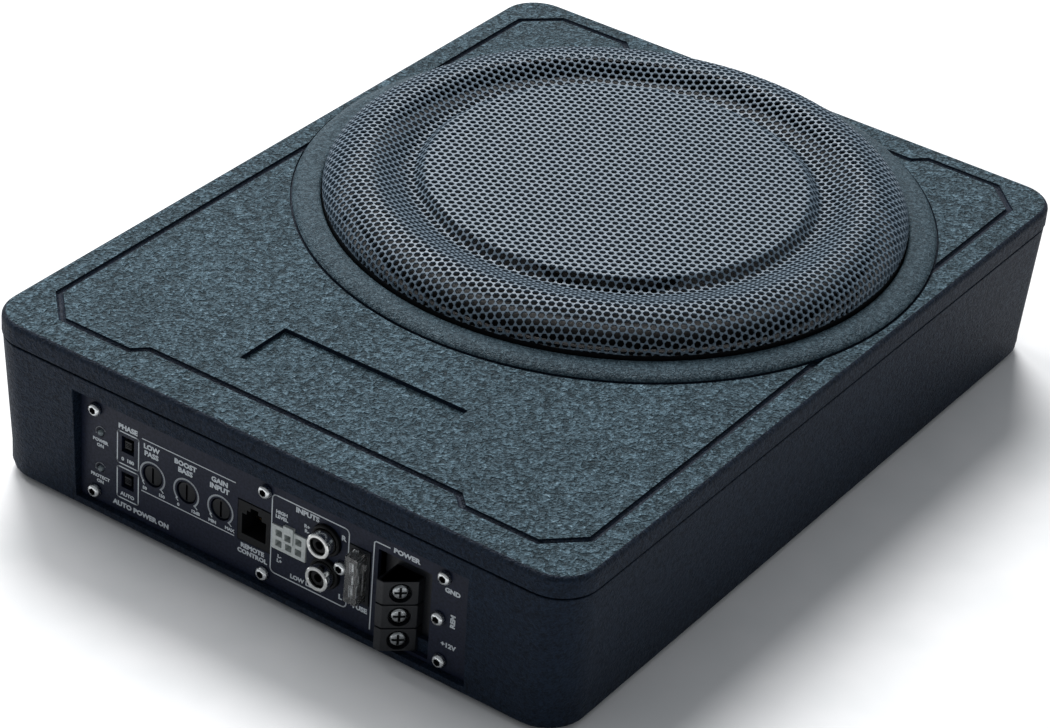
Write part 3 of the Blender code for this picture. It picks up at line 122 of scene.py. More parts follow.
@dataclass(frozen=True)
class Finish:
    """One real material and how its surface was made.

    Attributes:
        name: Material and how it was made.
        colour: Main colour, as sRGB hex.
        second: Colour of the pattern's high spots; on the wrinkled coats it is painted highlight.
        size: Size of the pattern's features, in millimetres.
        pattern: How the pattern is drawn.
        stretch: How much longer than wide the features are.
        turn: Direction of the long features about Z, in degrees.
        bump: Height of the pattern, in millimetres.
        roughness: Mean roughness.
        spread: How far the roughness strays from its mean.
        metallic: 1 for bare metal.
        specular: Specular level.
        transmission: 1 for clear plastic.
        ior: Index of refraction.
        coat: Weight of a clear coat.
        crest: How narrow the high spots' colour is; 1 is as wide as the hollows'.
    """

    name: str
    colour: str
    second: str
    size: float
    pattern: Pattern = Pattern.SPECKLE
    stretch: float = 1.0
    turn: float = 0.0
    bump: float = 0.0
    roughness: float = 0.5
    spread: float = 0.08
    metallic: float = 0.0
    specular: float = 0.5
    transmission: float = 0.0
    ior: float = 1.5
    coat: float = 0.0
    crest: float = 1.0

    def material(self) -> bpy.types.Material:
        """Return this finish's material, made once."""
        made = bpy.data.materials.get(self.name)
        if made is None:
            made = bpy.data.materials.new(self.name)
            made.use_nodes = True
            self._build(made.node_tree)
        return made

    def _build(self, tree: NodeTree) -> None:
        """Wire the pattern to colour, roughness and bump.

        Args:
            tree: The material's empty node tree.
        """
        shader = tree.nodes["Principled BSDF"]
        place = add_node(tree, "TexCoord").outputs["Object"]
        across = 1.0 / (self.size * MM)
        mapping = add_node(tree, "Mapping", {
            "Rotation": (0.0, 0.0, math.radians(-self.turn)),
            "Scale": (across / self.stretch, across, across),
        }, {"Vector": place})
        height = self._pattern(tree, mapping.outputs["Vector"])
        # Faint clouds, about 45 mm wide, keep large faces from looking flat.
        cloud = add_node(tree, "TexNoise", {"Scale": 22.0, "Detail": 2.0}, {"Vector": place})
        blotch = add_node(tree, "MapRange", {1: 0.3, 2: 0.7, 3: -0.04, 4: 0.04}, {0: cloud.outputs[0]})
        lift = add_node(tree, "Math", {}, {0: height, 1: blotch.outputs[0]}, operation='ADD', use_clamp=True)
        crest = add_node(tree, "Math", {1: self.crest}, {0: lift.outputs[0]}, operation='POWER')
        # For the wrinkled coats this mix paints highlights on the folds' crests and shade in their hollows;
        # for the other finishes it is their own faint mottle or streaks.
        tone = add_node(tree, "Mix", {6: linear(self.colour), 7: linear(self.second)},
                        {0: crest.outputs[0]}, data_type='RGBA')
        tree.links.new(tone.outputs[2], shader.inputs["Base Color"])
        rough = add_node(tree, "MapRange", {3: self.roughness + self.spread, 4: self.roughness - self.spread},
                         {0: lift.outputs[0]})
        tree.links.new(rough.outputs[0], shader.inputs["Roughness"])
        if self.bump:
            bump = add_node(tree, "Bump", {"Strength": 1.0, "Distance": self.bump * MM}, {"Height": height})
            tree.links.new(bump.outputs[0], shader.inputs["Normal"])
        for socket, value in (("Metallic", self.metallic), ("Specular IOR Level", self.specular),
                              ("Transmission Weight", self.transmission), ("IOR", self.ior),
                              ("Coat Weight", self.coat)):
            shader.inputs[socket].default_value = value

    def _pattern(self, tree: NodeTree, place: bpy.types.NodeSocket) -> bpy.types.NodeSocket:
        """Draw the pattern.

        Args:
            tree: The material's node tree.
            place: Coordinates in which a feature is 1 across.
        Returns:
            Its height, from 0 in its lows to 1 on its highs.
        """
        if self.pattern is Pattern.WEAVE:
            waves = [add_node(tree, "TexWave", {"Scale": 0.5, "Distortion": 0.3}, {"Vector": place},
                              bands_direction=way).outputs["Fac"] for way in ('X', 'Y')]
            return add_node(tree, "Math", {}, {0: waves[0], 1: waves[1]}, operation='MULTIPLY').outputs[0]
        if self.pattern is Pattern.GRAIN:
            return self._folds(tree, place)
        detail = {Pattern.SPECKLE: 2.0, Pattern.BRUSHED: 3.0}[self.pattern]
        noise = add_node(tree, "TexNoise", {"Scale": 1.0, "Detail": detail, "Roughness": 0.55},
                         {"Vector": place})
        return add_node(tree, "MapRange", {1: 0.3, 2: 0.7}, {0: noise.outputs[0]}).outputs[0]

    def _folds(self, tree: NodeTree, place: bpy.types.NodeSocket) -> bpy.types.NodeSocket:
        """Draw short winding folds, with finer ones over them.

        Args:
            tree: The material's node tree.
            place: Coordinates in which a fold is about 1 across.
        Returns:
            Their height, from 0 to 1.
        """
        levels = []
        for scale, twist in ((0.5, 0.9), (1.2, 0.6)):
            noise = add_node(tree, "TexNoise", {"Scale": scale, "Detail": 2.0, "Roughness": 0.5,
                                                "Distortion": twist}, {"Vector": place})
            level = add_node(tree, "MapRange", {1: 0.34, 2: 0.66}, {0: noise.outputs[0]})
            levels.append(level.outputs[0])
        return add_node(tree, "Mix", {0: 0.45}, {2: levels[0], 3: levels[1]}).outputs[0]



# Speckle and brushing are finer than this in life, and are drawn as coarse as they need to show.
# Thick powder coat on pressed aluminium, cured with a wrinkle: short folds about 3 mm long.
# Its bump catches the light; its colour adds painted highlights on the crests and painted shade in the
# hollows.
COAT = Finish("powder coat, wrinkled on aluminium", "#17282f", "#688290", 1.2, Pattern.GRAIN, bump=1.6,
              specular=0.14, crest=1.8)
# The same coat where it was laid thinner, round the woofer: its folds are half as large, with the same
# painted highlights and shade.
COLLAR_COAT = Finish("powder coat, finely wrinkled", "#1a2b34", "#536873", 0.7, Pattern.GRAIN, bump=0.5,
                     specular=0.14, crest=1.6)
# The same coat, darker: painted shade for the sides and the hollows, which get little light. Its grain is
# fine and tight, with painted highlights on its crests.
SHADE_PAINTED_COAT = Finish("powder coat, fine grain, darkened as painted shade", "#070e18", "#172536", 0.8, Pattern.GRAIN,
                   bump=0.3, roughness=0.6, specular=0.12)
# Perforated steel sheet, pressed and sprayed satin grey: the edges of its holes shine.
SHEET_PAINT = Finish("steel sheet, pressed and sprayed grey", "#50606d", "#667684", 1.2, bump=0.02,
                     specular=0.3)
# ABS moulded against a matt tool.
BLACK_ABS = Finish("ABS, moulded matt black", "#050608", "#0b0d11", 0.7, bump=0.02, specular=0.2)
# Steel panel, sprayed smooth in a blue black.
PANEL_PAINT = Finish("steel panel, sprayed satin navy", "#090f1e", "#10192e", 0.9, bump=0.015,
                     specular=0.22)
# Screen-printed epoxy ink.
PRINT_INK = Finish("epoxy ink, screen printed", "#a9b0b6", "#bcc3c8", 0.5, roughness=0.6)
# Zinc-plated screws: a bright head with fine marks from forming.
ZINC = Finish("steel screw, bright zinc plated", "#b9bdbf", "#dcdfe0", 0.5, Pattern.BRUSHED, 4.0, bump=0.01,
              roughness=0.26, metallic=1.0)
# The same plating on a clamp screw, in a darker grey, with soft highlights.
DARKER_ZINC = Finish("steel clamp screw, zinc plated in a darker grey", "#6d7173", "#a9adaf", 0.5, Pattern.BRUSHED,
                   4.0, bump=0.01, roughness=0.24, metallic=1.0)
# Inside of a driver's socket, painted near black: painted shade of the hole.
SOCKET_SHADE = Finish("steel, painted shade in the socket", "#08090b", "#141518", 0.4, roughness=0.7,
                      specular=0.2)
# Blackened screws under the enclosure.
BLACK_STEEL = Finish("steel screw, blackened", "#1c1d20", "#2c2e31", 0.6, Pattern.BRUSHED, 3.0,
                     roughness=0.42, metallic=1.0)
# Nickel plating on the line inputs' shells.
NICKEL = Finish("brass shell, nickel plated", "#c9cbca", "#e6e7e5", 0.4, Pattern.BRUSHED, 5.0,
                roughness=0.16, metallic=1.0)
# Gold flash on sprung contacts: thin warm glints.
GOLD = Finish("phosphor bronze contact, gold flashed", "#b98b3c", "#d8ae60", 0.3, Pattern.BRUSHED, 4.0,
              roughness=0.25, metallic=1.0)
# Tin-plated zinc of a fuse's blades and link.
TIN = Finish("zinc blade, tin plated", "#b4b8ba", "#d5d8d9", 0.5, Pattern.BRUSHED, 5.0, roughness=0.3,
             metallic=1.0)
# Natural nylon of a wiring socket: milky, a little soft at its edges.
NYLON = Finish("nylon 66, moulded natural white", "#a4aaa9", "#b9bfbe", 0.8, bump=0.01, roughness=0.38)
# Polycarbonate fuse body, clear.
CLEAR_PC = Finish("polycarbonate, moulded clear", "#f4f7f8", "#ffffff", 1.0, roughness=0.08, spread=0.03,
                  transmission=0.96)
# Cast epoxy over an unlit lamp: a grey, half-clear dome with a sharp highlight.
LENS = Finish("epoxy lens, cast clear", "#4f5b60", "#7d8a90", 1.0, roughness=0.14, spread=0.03,
              transmission=0.3, ior=1.54)
# Glass-filled PBT of switches, potentiometers and terminals.
PBT = Finish("PBT, glass filled and moulded black", "#04060a", "#0b0f15", 0.5, bump=0.015, roughness=0.38,
             specular=0.22)
# The terminals' grade is a little lighter and glossier.
TERMINAL_PBT = Finish("PBT, moulded dark grey", "#0e1014", "#181b20", 0.6, bump=0.015, roughness=0.36,
                      specular=0.35)
# Moulded rubber gives almost no highlight.
RUBBER = Finish("natural rubber, moulded foot", "#0e0e0f", "#19191a", 0.9, bump=0.04, roughness=0.8,
                specular=0.3)
# Butyl has a faint, wide sheen along the roll.
BUTYL = Finish("butyl rubber, moulded surround", "#060607", "#0d0d0f", 1.0, bump=0.03, roughness=0.6,
               specular=0.2)
# Pressed pulp is felt-like and swallows light.
PULP = Finish("paper pulp, pressed and dyed black", "#050506", "#0c0d0f", 2.0, Pattern.SPECKLE, 1.5,
              bump=0.08, roughness=0.8, specular=0.15)
# Cotton cloth dipped in phenolic resin: threads 0.9 mm apart.
RESIN_CLOTH = Finish("cotton cloth, resin dipped", "#6b4c1e", "#b58a45", 0.9, Pattern.WEAVE, bump=0.15,
                     roughness=0.85)
# Enamelled copper shines in fine lines along the turns.
ENAMEL_WIRE = Finish("copper wire, enamelled", "#7a3f1a", "#b96e36", 0.5, Pattern.BRUSHED, 8.0, bump=0.05,
                     roughness=0.32, metallic=0.9)
# Ground ferrite is a flat dark grey.
FERRITE = Finish("ferrite, sintered and ground", "#161719", "#26282a", 1.5, bump=0.03, roughness=0.6)
# Turned steel shows its tool marks as a soft drawn-out glow.
YOKE_STEEL = Finish("mild steel, turned and zinc plated", "#6f7375", "#93989a", 0.8, Pattern.BRUSHED, 8.0,
                    bump=0.02, roughness=0.38, metallic=1.0)
# Stove enamel on the basket: black with a low gloss.
BASKET_PAINT = Finish("pressed steel, stove enamelled black", "#060708", "#0e1012", 1.2, bump=0.03,
                      specular=0.25)
# Solder mask is deep green under a thin clear gloss.
FR4 = Finish("glass epoxy board, green solder mask", "#0d3a22", "#19593a", 1.4, bump=0.02, roughness=0.35,
             coat=0.3)
# Extruded aluminium has fine lines along its fins.
SINK_ALUMINIUM = Finish("aluminium, extruded", "#8d9193", "#b2b6b7", 0.6, Pattern.BRUSHED, 12.0, 90.0, 0.02,
                        0.35, metallic=1.0)
# A paper backdrop is matt and even.
FLOOR_PAINT = Finish("paper backdrop, matt white", "#eff0f1", "#f5f5f6", 30.0, roughness=0.9, specular=0.1)


# --- Mesh tools -----------------------------------------------------------------------
def new_piece(name: str, bm: BMesh) -> Piece:
    """Make an object of a bmesh, with its faces outwards and its origin at the frame's.

    Args:
        name: The piece's name.
        bm: The shape in its place; it is freed.
    Returns:
        The object, linked to the scene.
    """
    bmesh.ops.recalc_face_normals(bm, faces=bm.faces[:])
    mesh = bpy.data.meshes.new(name)
    bm.to_mesh(mesh)
    bm.free()
    return in_scene(name, mesh)


def in_scene(name: str, data: bpy.types.ID) -> Piece:
    """Make an object of a mesh, curve, lamp or camera and link it to the scene."""
    thing = bpy.data.objects.new(name, data)
    bpy.context.scene.collection.objects.link(thing)
    return thing


def shown_mesh(thing: Piece) -> bpy.types.Mesh:
    """Return what an object shows, its modifiers or its curve included, as a mesh."""
    return bpy.data.meshes.new_from_object(thing.evaluated_get(bpy.context.evaluated_depsgraph_get()))


def fix_modifiers(thing: Piece) -> None:
    """Make what a piece's modifiers show its own mesh.

    Args:
        thing: The piece.
    """
    mesh = shown_mesh(thing)
    thing.modifiers.clear()
    thing.data = mesh


def paint(thing: Piece, *finishes: Finish) -> None:
    """Give a mesh these finishes' materials, and no others.

    Args:
        thing: The piece.
        finishes: Its finishes, in the order of its material slots.
    """
    thing.data.materials.clear()
    for finish in finishes:
        thing.data.materials.append(finish.material())


def crisp(thing: Piece, angle: float) -> None:
    """Shade a mesh smooth, with sharp edges above an angle in degrees."""
    thing.data.shade_smooth()
    thing.data.set_sharp_from_angle(angle=math.radians(angle))


def combine(thing: Piece, other: Piece, operation: str) -> None:
    """Join one piece to another, or cut it out.

    Args:
        thing: The piece that stays.
        other: The piece that is used up.
        operation: 'UNION' or 'DIFFERENCE'.
    """
    step = thing.modifiers.new("step", 'BOOLEAN')
    step.solver = 'EXACT'
    step.operation = operation
    step.object = other
    fix_modifiers(thing)
    bpy.data.objects.remove(other, do_unlink=True)


def cut(thing: Piece, bm: BMesh) -> None:
    """Cut a bmesh's solid out of thing."""
    combine(thing, new_piece("cutter", bm), 'DIFFERENCE')


def join(thing: Piece, bm: BMesh) -> None:
    """Join a bmesh's solid to thing."""
    combine(thing, new_piece("addition", bm), 'UNION')


def dress(thing: Piece, finish: Finish, body: str = FIXED,
          nodes: Sequence[str] = (), smooth: float = 32.0) -> Piece:
    """Give a finished piece its material and shading, and tie it to the frame.

    Args:
        thing: The piece, in place.
        finish: Its finish, used where the mesh has no material yet.
        body: The body that it rides on.
        nodes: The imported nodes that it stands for.
        smooth: Angle above which an edge stays sharp, in degrees.
    Returns:
        The piece.
    """
    if not thing.data.materials:
        paint(thing, finish)
    crisp(thing, smooth)
    weighted = thing.modifiers.new("shading", 'WEIGHTED_NORMAL')
    weighted.keep_sharp = True
    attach(thing, body)
    if nodes:
        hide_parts(*nodes)
    LOG.info("%s rides on %s", thing.name, body)
    return thing


def round_edges(bm: BMesh, edges: Sequence[bmesh.types.BMEdge], radius: float, segments: int = 2) -> None:
    """Round edges of a bmesh off."""
    bmesh.ops.bevel(bm, geom=edges, offset=radius, segments=segments, profile=0.5, affect='EDGES',
                    material=-1)


def put_box(bm: BMesh, low: Sequence[float], high: Sequence[float], edge: float = 0.0) -> BMesh:
    """Add a box to a bmesh.

    Args:
        bm: The bmesh.
        low: The box's lowest corner.
        high: Its highest corner.
        edge: Radius of its edges.
    Returns:
        The same bmesh.
    """
    low, high = Vector(low), Vector(high)
    made = bmesh.ops.create_cube(bm, size=1.0, matrix=Matrix.LocRotScale((low + high) / 2, None, high - low))
    if edge:
        round_edges(bm, list(dict.fromkeys(e for v in made["verts"] for e in v.link_edges)), edge)
    return bm


def put_rod(bm: BMesh, start: Sequence[float], end: Sequence[float], radius: float,
            far: Optional[float] = None, segments: int = 24) -> BMesh:
    """Add a round rod to a bmesh.

    Args:
        bm: The bmesh.
        start: Middle of one end.
        end: Middle of the other.
        radius: Radius at the start.
        far: Radius at the end, if another.
        segments: Facets round it.
    Returns:
        The same bmesh.
    """
    start, end = Vector(start), Vector(end)
    way = end - start
    place = Matrix.Translation((start + end) / 2) @ way.to_track_quat('Z', 'Y').to_matrix().to_4x4()
    bmesh.ops.create_cone(bm, cap_ends=True, segments=segments, radius1=radius,
                          radius2=radius if far is None else far, depth=way.length, matrix=place)
    return bm


def turned(profile: Sequence[Point], steps: int, closed: bool = True, unit: float = 1.0) -> BMesh:
    """Turn a profile of (radius, height) points round the upright axis.

    Args:
        profile: The points; an open profile starts and ends on the axis.
        steps: Facets round the turn.
        closed: Whether the last point joins the first.
        unit: The profile's unit, in metres.
    Returns:
        A bmesh about the world's Z axis.
    """
    bm = bmesh.new()
    verts = [bm.verts.new((radius * unit, 0.0, height * unit)) for radius, height in profile]
    edges = [bm.edges.new(pair) for pair in zip(verts, verts[1:])]
    if closed:
        edges.append(bm.edges.new((verts[-1], verts[0])))
    bmesh.ops.spin(bm, geom=verts + edges, cent=(0, 0, 0), axis=(0, 0, 1), angle=math.tau, steps=steps,
                   use_merge=True)
    bmesh.ops.remove_doubles(bm, verts=bm.verts[:], dist=0.002 * MM)
    return bm


def moved(bm: BMesh, place: Matrix) -> BMesh:
    """Carry a bmesh to its place."""
    bmesh.ops.transform(bm, matrix=place, verts=bm.verts[:])
    return bm


def facing(at: Sequence[float], way: Sequence[float]) -> Matrix:
    """Matrix that stands a shape at a point with its +Z along way."""
    return Matrix.Translation(Vector(at)) @ Vector(way).to_track_quat('Z', 'Y').to_matrix().to_4x4()


# --- Sizes that the sub-assemblies share ----------------------------------------------
@dataclass(frozen=True)
class Shell:
    """Sizes of the enclosure that other sub-assemblies seat on."""

    width: float = 250.0 * MM
    length: float = 330.0 * MM
    height: float = 64.3 * MM
    base: float = 2.0 * MM            # enclosure's bottom over the floor
    corner: float = 15.3 * MM
    draft: float = 2.8 * MM
    cover: float = 8.1 * MM           # cover's top to its lower edge
    seam: float = 0.8 * MM
    well_r: float = 109.7 * MM
    well_y: float = 43.6 * MM
    ledge: float = 4.3 * MM           # surface down to the woofer's ledge
    panel_face: float = 5.0 * MM      # panel's depth behind the front
    panel_back: float = 6.6 * MM

    @property
    def top(self) -> float:
        """Height of the flat top over the floor."""
        return self.base + self.height

    @property
    def front(self) -> float:
        """Y of the enclosure's front."""
        return -self.length / 2

    @property
    def face_y(self) -> float:
        """Y of the control panel's face."""
        return self.front + self.panel_face

    def at(self, x: float, height: float, depth: float) -> Vector:
        """Point at a height over the enclosure's bottom and a depth behind its front."""
        return Vector((x, self.front + depth, self.base + height))

    def corners(self, edge: float) -> dict[str, Point]:
        """The four places at this distance from the sides, each with its name."""
        x, y = self.width / 2 - edge, self.length / 2 - edge
        return {"front_left": (-x, -y), "front_right": (x, -y), "back_left": (-x, y), "back_right": (x, y)}


SHELL = Shell()
FACE = SHELL.panel_face / MM      # the panel's depth, in millimetres
SLACK = GAP / MM
WELL = Matrix.Translation((0, SHELL.well_y, 0))     # the woofer's axis
SMOOTH = 144                      # facets of a turn as wide as the woofer


def spot(x: float, height: float, depth: float = FACE) -> Vector:
    """Point of the control panel, given in millimetres."""
    return SHELL.at(x * MM, height * MM, depth * MM)


def slab(x: float, height: float, wide: float, tall: float, front: float, back: float, edge: float = 0.0,
         bm: Optional[BMesh] = None) -> BMesh:
    """Box centred on a place of the control panel, in millimetres.

    Args:
        x: Its middle along the panel.
        height: Its middle over the enclosure's bottom.
        wide: Its size along the panel.
        tall: Its size upright.
        front: Depth of its near side.
        back: Depth of its far side.
        edge: Radius of its edges.
        bm: The bmesh to add it to, if not a new one.
    Returns:
        The bmesh that holds it.
    """
    return put_box(bm or bmesh.new(), spot(x - wide / 2, height - tall / 2, front),
                   spot(x + wide / 2, height + tall / 2, back), edge * MM)


def rounded_block(inset: float, bottom: float, top: float, radius: float, draft: float = 0.0,
                  rounds: Point = (0.0, 0.0), segments: int = 10) -> BMesh:
    """Block on the enclosure's outline, set in by inset, with round corners.

    Args:
        inset: Distance inside the enclosure's sides.
        bottom: Height of its underside.
        top: Height of its upper side.
        radius: Radius of its upright corners.
        draft: How far the underside is set in further.
        rounds: Radii of the lower and upper rims.
        segments: Facets in each corner.
    Returns:
        The block as a bmesh.
    """
    bm = bmesh.new()
    half_x, half_y = SHELL.width / 2 - inset, SHELL.length / 2 - inset
    made = bmesh.ops.create_cube(bm, size=1.0, matrix=Matrix.LocRotScale(
        Vector((0, 0, (bottom + top) / 2)), None, Vector((2 * half_x, 2 * half_y, top - bottom))))
    for vert in made["verts"]:
        if vert.co.z < (bottom + top) / 2:
            vert.co.x -= math.copysign(draft, vert.co.x)
            vert.co.y -= math.copysign(draft, vert.co.y)
    upright = [edge for edge in bm.edges if abs(edge.verts[0].co.z - edge.verts[1].co.z) > GAP]
    round_edges(bm, upright, radius, segments)
    for level, amount in zip((bottom, top), rounds):
        if amount > 0:
            rim = [edge for edge in bm.edges if all(abs(v.co.z - level) < GAP / 10 for v in edge.verts)]
            round_edges(bm, rim, amount, 5)
    return bm


# --- Screws ---------------------------------------------------------------------------
class Drive(Enum):
    """Shape that the driver fits in a screw's head."""

    HEX = "hexagon socket"
    CROSS = "cross recess"


@dataclass(frozen=True)
class Screw:
    """Domed screw on a plain shank.

    Attributes:
        head_r: Radius of the head.
        head_h: Height of the head.
        shank_r: Radius of the shank.
        shank_l: Length of the shank under the head.
        drive: What the driver fits in.
    """

    head_r: float
    head_h: float
    shank_r: float
    shank_l: float
    drive: Drive

    def build(self, name: str, seat: Sequence[float], way: Sequence[float], finish: Finish) -> Piece:
        """Make the screw. Its socket's walls and bottom are painted near black: painted shade in the hole.

        Args:
            name: The piece's name.
            seat: Middle of the head's underside.
            way: Direction that the head faces.
            finish: The head's finish.
        Returns:
            The screw, in place.
        """
        r, h = self.head_r, self.head_h
        dome = [(across * r, up * h) for across, up in (
            (0.0, 1.0), (0.45, 1.0), (0.7, 0.94), (0.88, 0.78), (0.98, 0.5), (1.0, 0.12), (0.97, 0.0))]
        profile = [*dome, (self.shank_r, 0.0), (self.shank_r, 0.3 * MM - self.shank_l),
                   (0.7 * self.shank_r, -self.shank_l), (0.0, -self.shank_l)]
        screw = new_piece(name, turned(profile, 24, closed=False))
        deep = 0.1 * h if self.drive is Drive.HEX else 0.35 * h
        if self.drive is Drive.HEX:
            cut(screw, put_rod(bmesh.new(), (0, 0, deep), (0, 0, 2 * h), 0.56 * r, segments=6))
        else:
            for wide, tall in ((0.66 * r, 0.14 * r), (0.14 * r, 0.66 * r)):
                cut(screw, put_box(bmesh.new(), (-wide, -tall, deep), (wide, tall, 2 * h)))
        paint(screw, finish, SOCKET_SHADE)
        # Faces inside the socket take the near-black finish: painted shade in the hole.
        for face in screw.data.polygons:
            inside = face.center.xy.length < 0.7 * r and deep - GAP / 10 < face.center.z < 0.97 * h
            upright = abs(face.normal.z) < 0.1 or face.center.z < deep + GAP / 10
            face.material_index = int(inside and upright)
        screw.data.transform(facing(seat, way))
        return screw


# --- Enclosure ------------------------------------------------------------------------
@dataclass(frozen=True)
class Enclosure:
    """Pressed cover, drafted tub, feet and the screws underneath."""

    cover_wall: float = 3.0 * MM
    cover_step: float = 0.3 * MM
    top_round: float = 2.2 * MM
    edge_round: float = 0.5 * MM
    groove_edge_x: float = 11.3 * MM
    groove_edge_front: float = 14.4 * MM
    groove_edge_back: float = 9.4 * MM
    groove_chamfer: float = 12.6 * MM
    groove_jog: float = 5.0 * MM
    groove_jog_x: float = 66.0 * MM
    groove_r: float = 1.5 * MM
    groove_lift: float = 0.2 * MM
    plate_w: float = 79.0 * MM
    plate_l: float = 25.0 * MM
    plate_front: float = 36.0 * MM
    plate_deep: float = 1.8 * MM
    collar_w: float = 10.8 * MM
    collar_lip: float = 4.0 * MM
    collar_h: float = 3.0 * MM
    lip_round: tuple[Point, ...] = ((0.25, 0.75), (0.6, 0.3), (1.1, 0.08), (1.8, 0.0))    # mm out and down
    crease: float = 0.75 * MM         # shadow line round the collar
    ledge_t: float = 3.0 * MM
    ledge_r: float = 97.0 * MM
    tub_wall: float = 2.4 * MM
    floor_t: float = 3.0 * MM
    bottom_round: float = 1.5 * MM
    tongue_h: float = 3.3 * MM
    pocket_x: float = 84.5 * MM
    pocket_low: float = 3.6 * MM
    pocket_high: float = 48.7 * MM
    pocket_chamfer: float = 0.7 * MM
    seat_depth: float = 6.9 * MM
    frame_back: float = 11.1 * MM
    frame_w: float = 4.2 * MM
    window_low: Point = (-79.0 * MM, 10.9 * MM)
    window_high: Point = (67.9 * MM, 43.5 * MM)
    foot_edge: float = 30.0 * MM
    foot_r: float = 9.0 * MM
    foot_seat: float = 1.0 * MM
    post_edge: float = 13.0 * MM
    post: tuple[Point, ...] = (       # its profile, in millimetres
        (5.5, 0.0), (5.5, 18.0), (2.0, 18.0), (2.0, 10.0), (3.6, 10.0), (3.6, 0.0))
    screw_seat: float = 12.0 * MM
    screw: Screw = Screw(3.2 * MM, 2.2 * MM, 1.6 * MM, 18.0 * MM, Drive.CROSS)

    def build(self) -> None:
        """Build and dress every piece of the enclosure."""
        self._cover()
        self._tub()
        self._feet()
        self._screws()

    def _groove_points(self) -> list[Point]:
        """Corners of the border groove."""
        x = SHELL.width / 2 - self.groove_edge_x
        front, back = SHELL.front + self.groove_edge_front, SHELL.length / 2 - self.groove_edge_back
        half: list[Point] = []
        for y, inward in ((front, 1), (back, -1)):
            half += [(self.groove_jog_x, y + inward * self.groove_jog),
                     (self.groove_jog_x + self.groove_jog, y), (x - self.groove_chamfer, y),
                     (x, y + inward * self.groove_chamfer)][::inward]
        return half + [(-px, py) for px, py in reversed(half)]

    def _groove(self) -> Piece:
        """Round bar along the groove, as a solid to cut."""
        curve = bpy.data.curves.new("groove", 'CURVE')
        curve.dimensions = '3D'
        curve.bevel_depth = self.groove_r
        curve.bevel_resolution = 3
        spline = curve.splines.new('POLY')
        points = self._groove_points()
        spline.points.add(len(points) - 1)
        for point, (x, y) in zip(spline.points, points):
            point.co = (x, y, SHELL.top + self.groove_lift, 1.0)
        spline.use_cyclic_u = True
        bar = in_scene("groove", curve)
        bm = bmesh.new()
        bm.from_mesh(shown_mesh(bar))
        bmesh.ops.remove_doubles(bm, verts=bm.verts[:], dist=0.01 * MM)
        bpy.data.objects.remove(bar, do_unlink=True)
        return new_piece("groove_bar", bm)

    def _collar(self) -> BMesh:
        """Raised ring round the woofer, with its well wall and ledge."""
        top, well = SHELL.top, SHELL.well_r
        rise, ledge = top + self.collar_h, top - SHELL.ledge
        outer, under = well + self.collar_w, top - self.cover_wall + GAP
        width = self.collar_w - self.collar_lip
        turns = [math.pi / 2 * i / 8 for i in range(1, 9)]
        shoulder = [(outer - width * (1 - math.sin(turn)), top + self.collar_h * math.cos(turn))
                    for turn in turns]
        lip = [(well + out * MM, rise - down * MM) for out, down in self.lip_round]
        profile = [*lip, (well + self.collar_lip, rise - 0.04 * MM), *shoulder, (outer, under),
                   (well + self.cover_wall, under), (well + self.cover_wall, ledge - self.ledge_t),
                   (self.ledge_r, ledge - self.ledge_t), (self.ledge_r, ledge), (well, ledge),
                   (well, rise - 1.4 * MM)]
        return moved(turned(profile, SMOOTH), WELL)

    def _cover(self) -> None:
        """Cover with its groove, nameplate recess, collar and well."""
        low, top = SHELL.top - SHELL.cover, SHELL.top
        rounds = (self.edge_round, self.top_round)
        cover = new_piece("pressed_cover", rounded_block(0.0, low, top, SHELL.corner, rounds=rounds))
        cut(cover, rounded_block(self.cover_wall, low - SHELL.cover, top - self.cover_wall,
                                 SHELL.corner - self.cover_wall))
        combine(cover, self._groove(), 'DIFFERENCE')
        front = SHELL.front + self.plate_front
        cut(cover, put_box(bmesh.new(), (-self.plate_w / 2, front, top - self.plate_deep),
                           (self.plate_w / 2, front + self.plate_l, top + 3 * self.plate_deep),
                           self.edge_round))
        cut(cover, put_rod(bmesh.new(), (0, SHELL.well_y, low - SHELL.cover),
                           (0, SHELL.well_y, top + 2 * self.collar_h), SHELL.well_r + self.cover_wall / 2,
                           segments=SMOOTH))
        join(cover, self._collar())
        outer = SHELL.well_r + self.collar_w
        ring = [(outer + self.crease, top + GAP), (outer + self.crease / 2, top - self.crease),
                (outer - self.crease / 2, top - self.crease), (outer - self.crease, top + 2 * GAP)]
        cut(cover, moved(turned(ring, SMOOTH), WELL))
        self._paint_cover(cover)
        dress(cover, COAT, nodes=["top_cover"])

    def _paint_cover(self, cover: Piece) -> None:
        """Give the collar its finer coat, and the skirt, the hollows and the well below the top the darker
        coat, which is painted shade.

        Args:
            cover: The finished cover.
        """
        paint(cover, COAT, COLLAR_COAT, SHADE_PAINTED_COAT)
        centre = WELL.translation.xy
        edge = SHELL.well_r + self.collar_w + self.crease / 2
        for face in cover.data.polygons:
            points = [cover.data.vertices[i].co for i in face.vertices]
            reach = max((point.xy - centre).length for point in points)
            sunk = GAP / 2 < SHELL.top - face.center.z < self.plate_deep - GAP / 2
            if reach < edge and face.center.z > SHELL.top + GAP / 2:
                face.material_index = 1
            # Steep faces, the nameplate recess's floor and all that lies deep in the well take the darker
            # coat: painted shade.
            elif sunk or face.normal.z < math.sqrt(0.5) or face.center.z < SHELL.top - 2 * self.plate_deep:
                face.material_index = 2

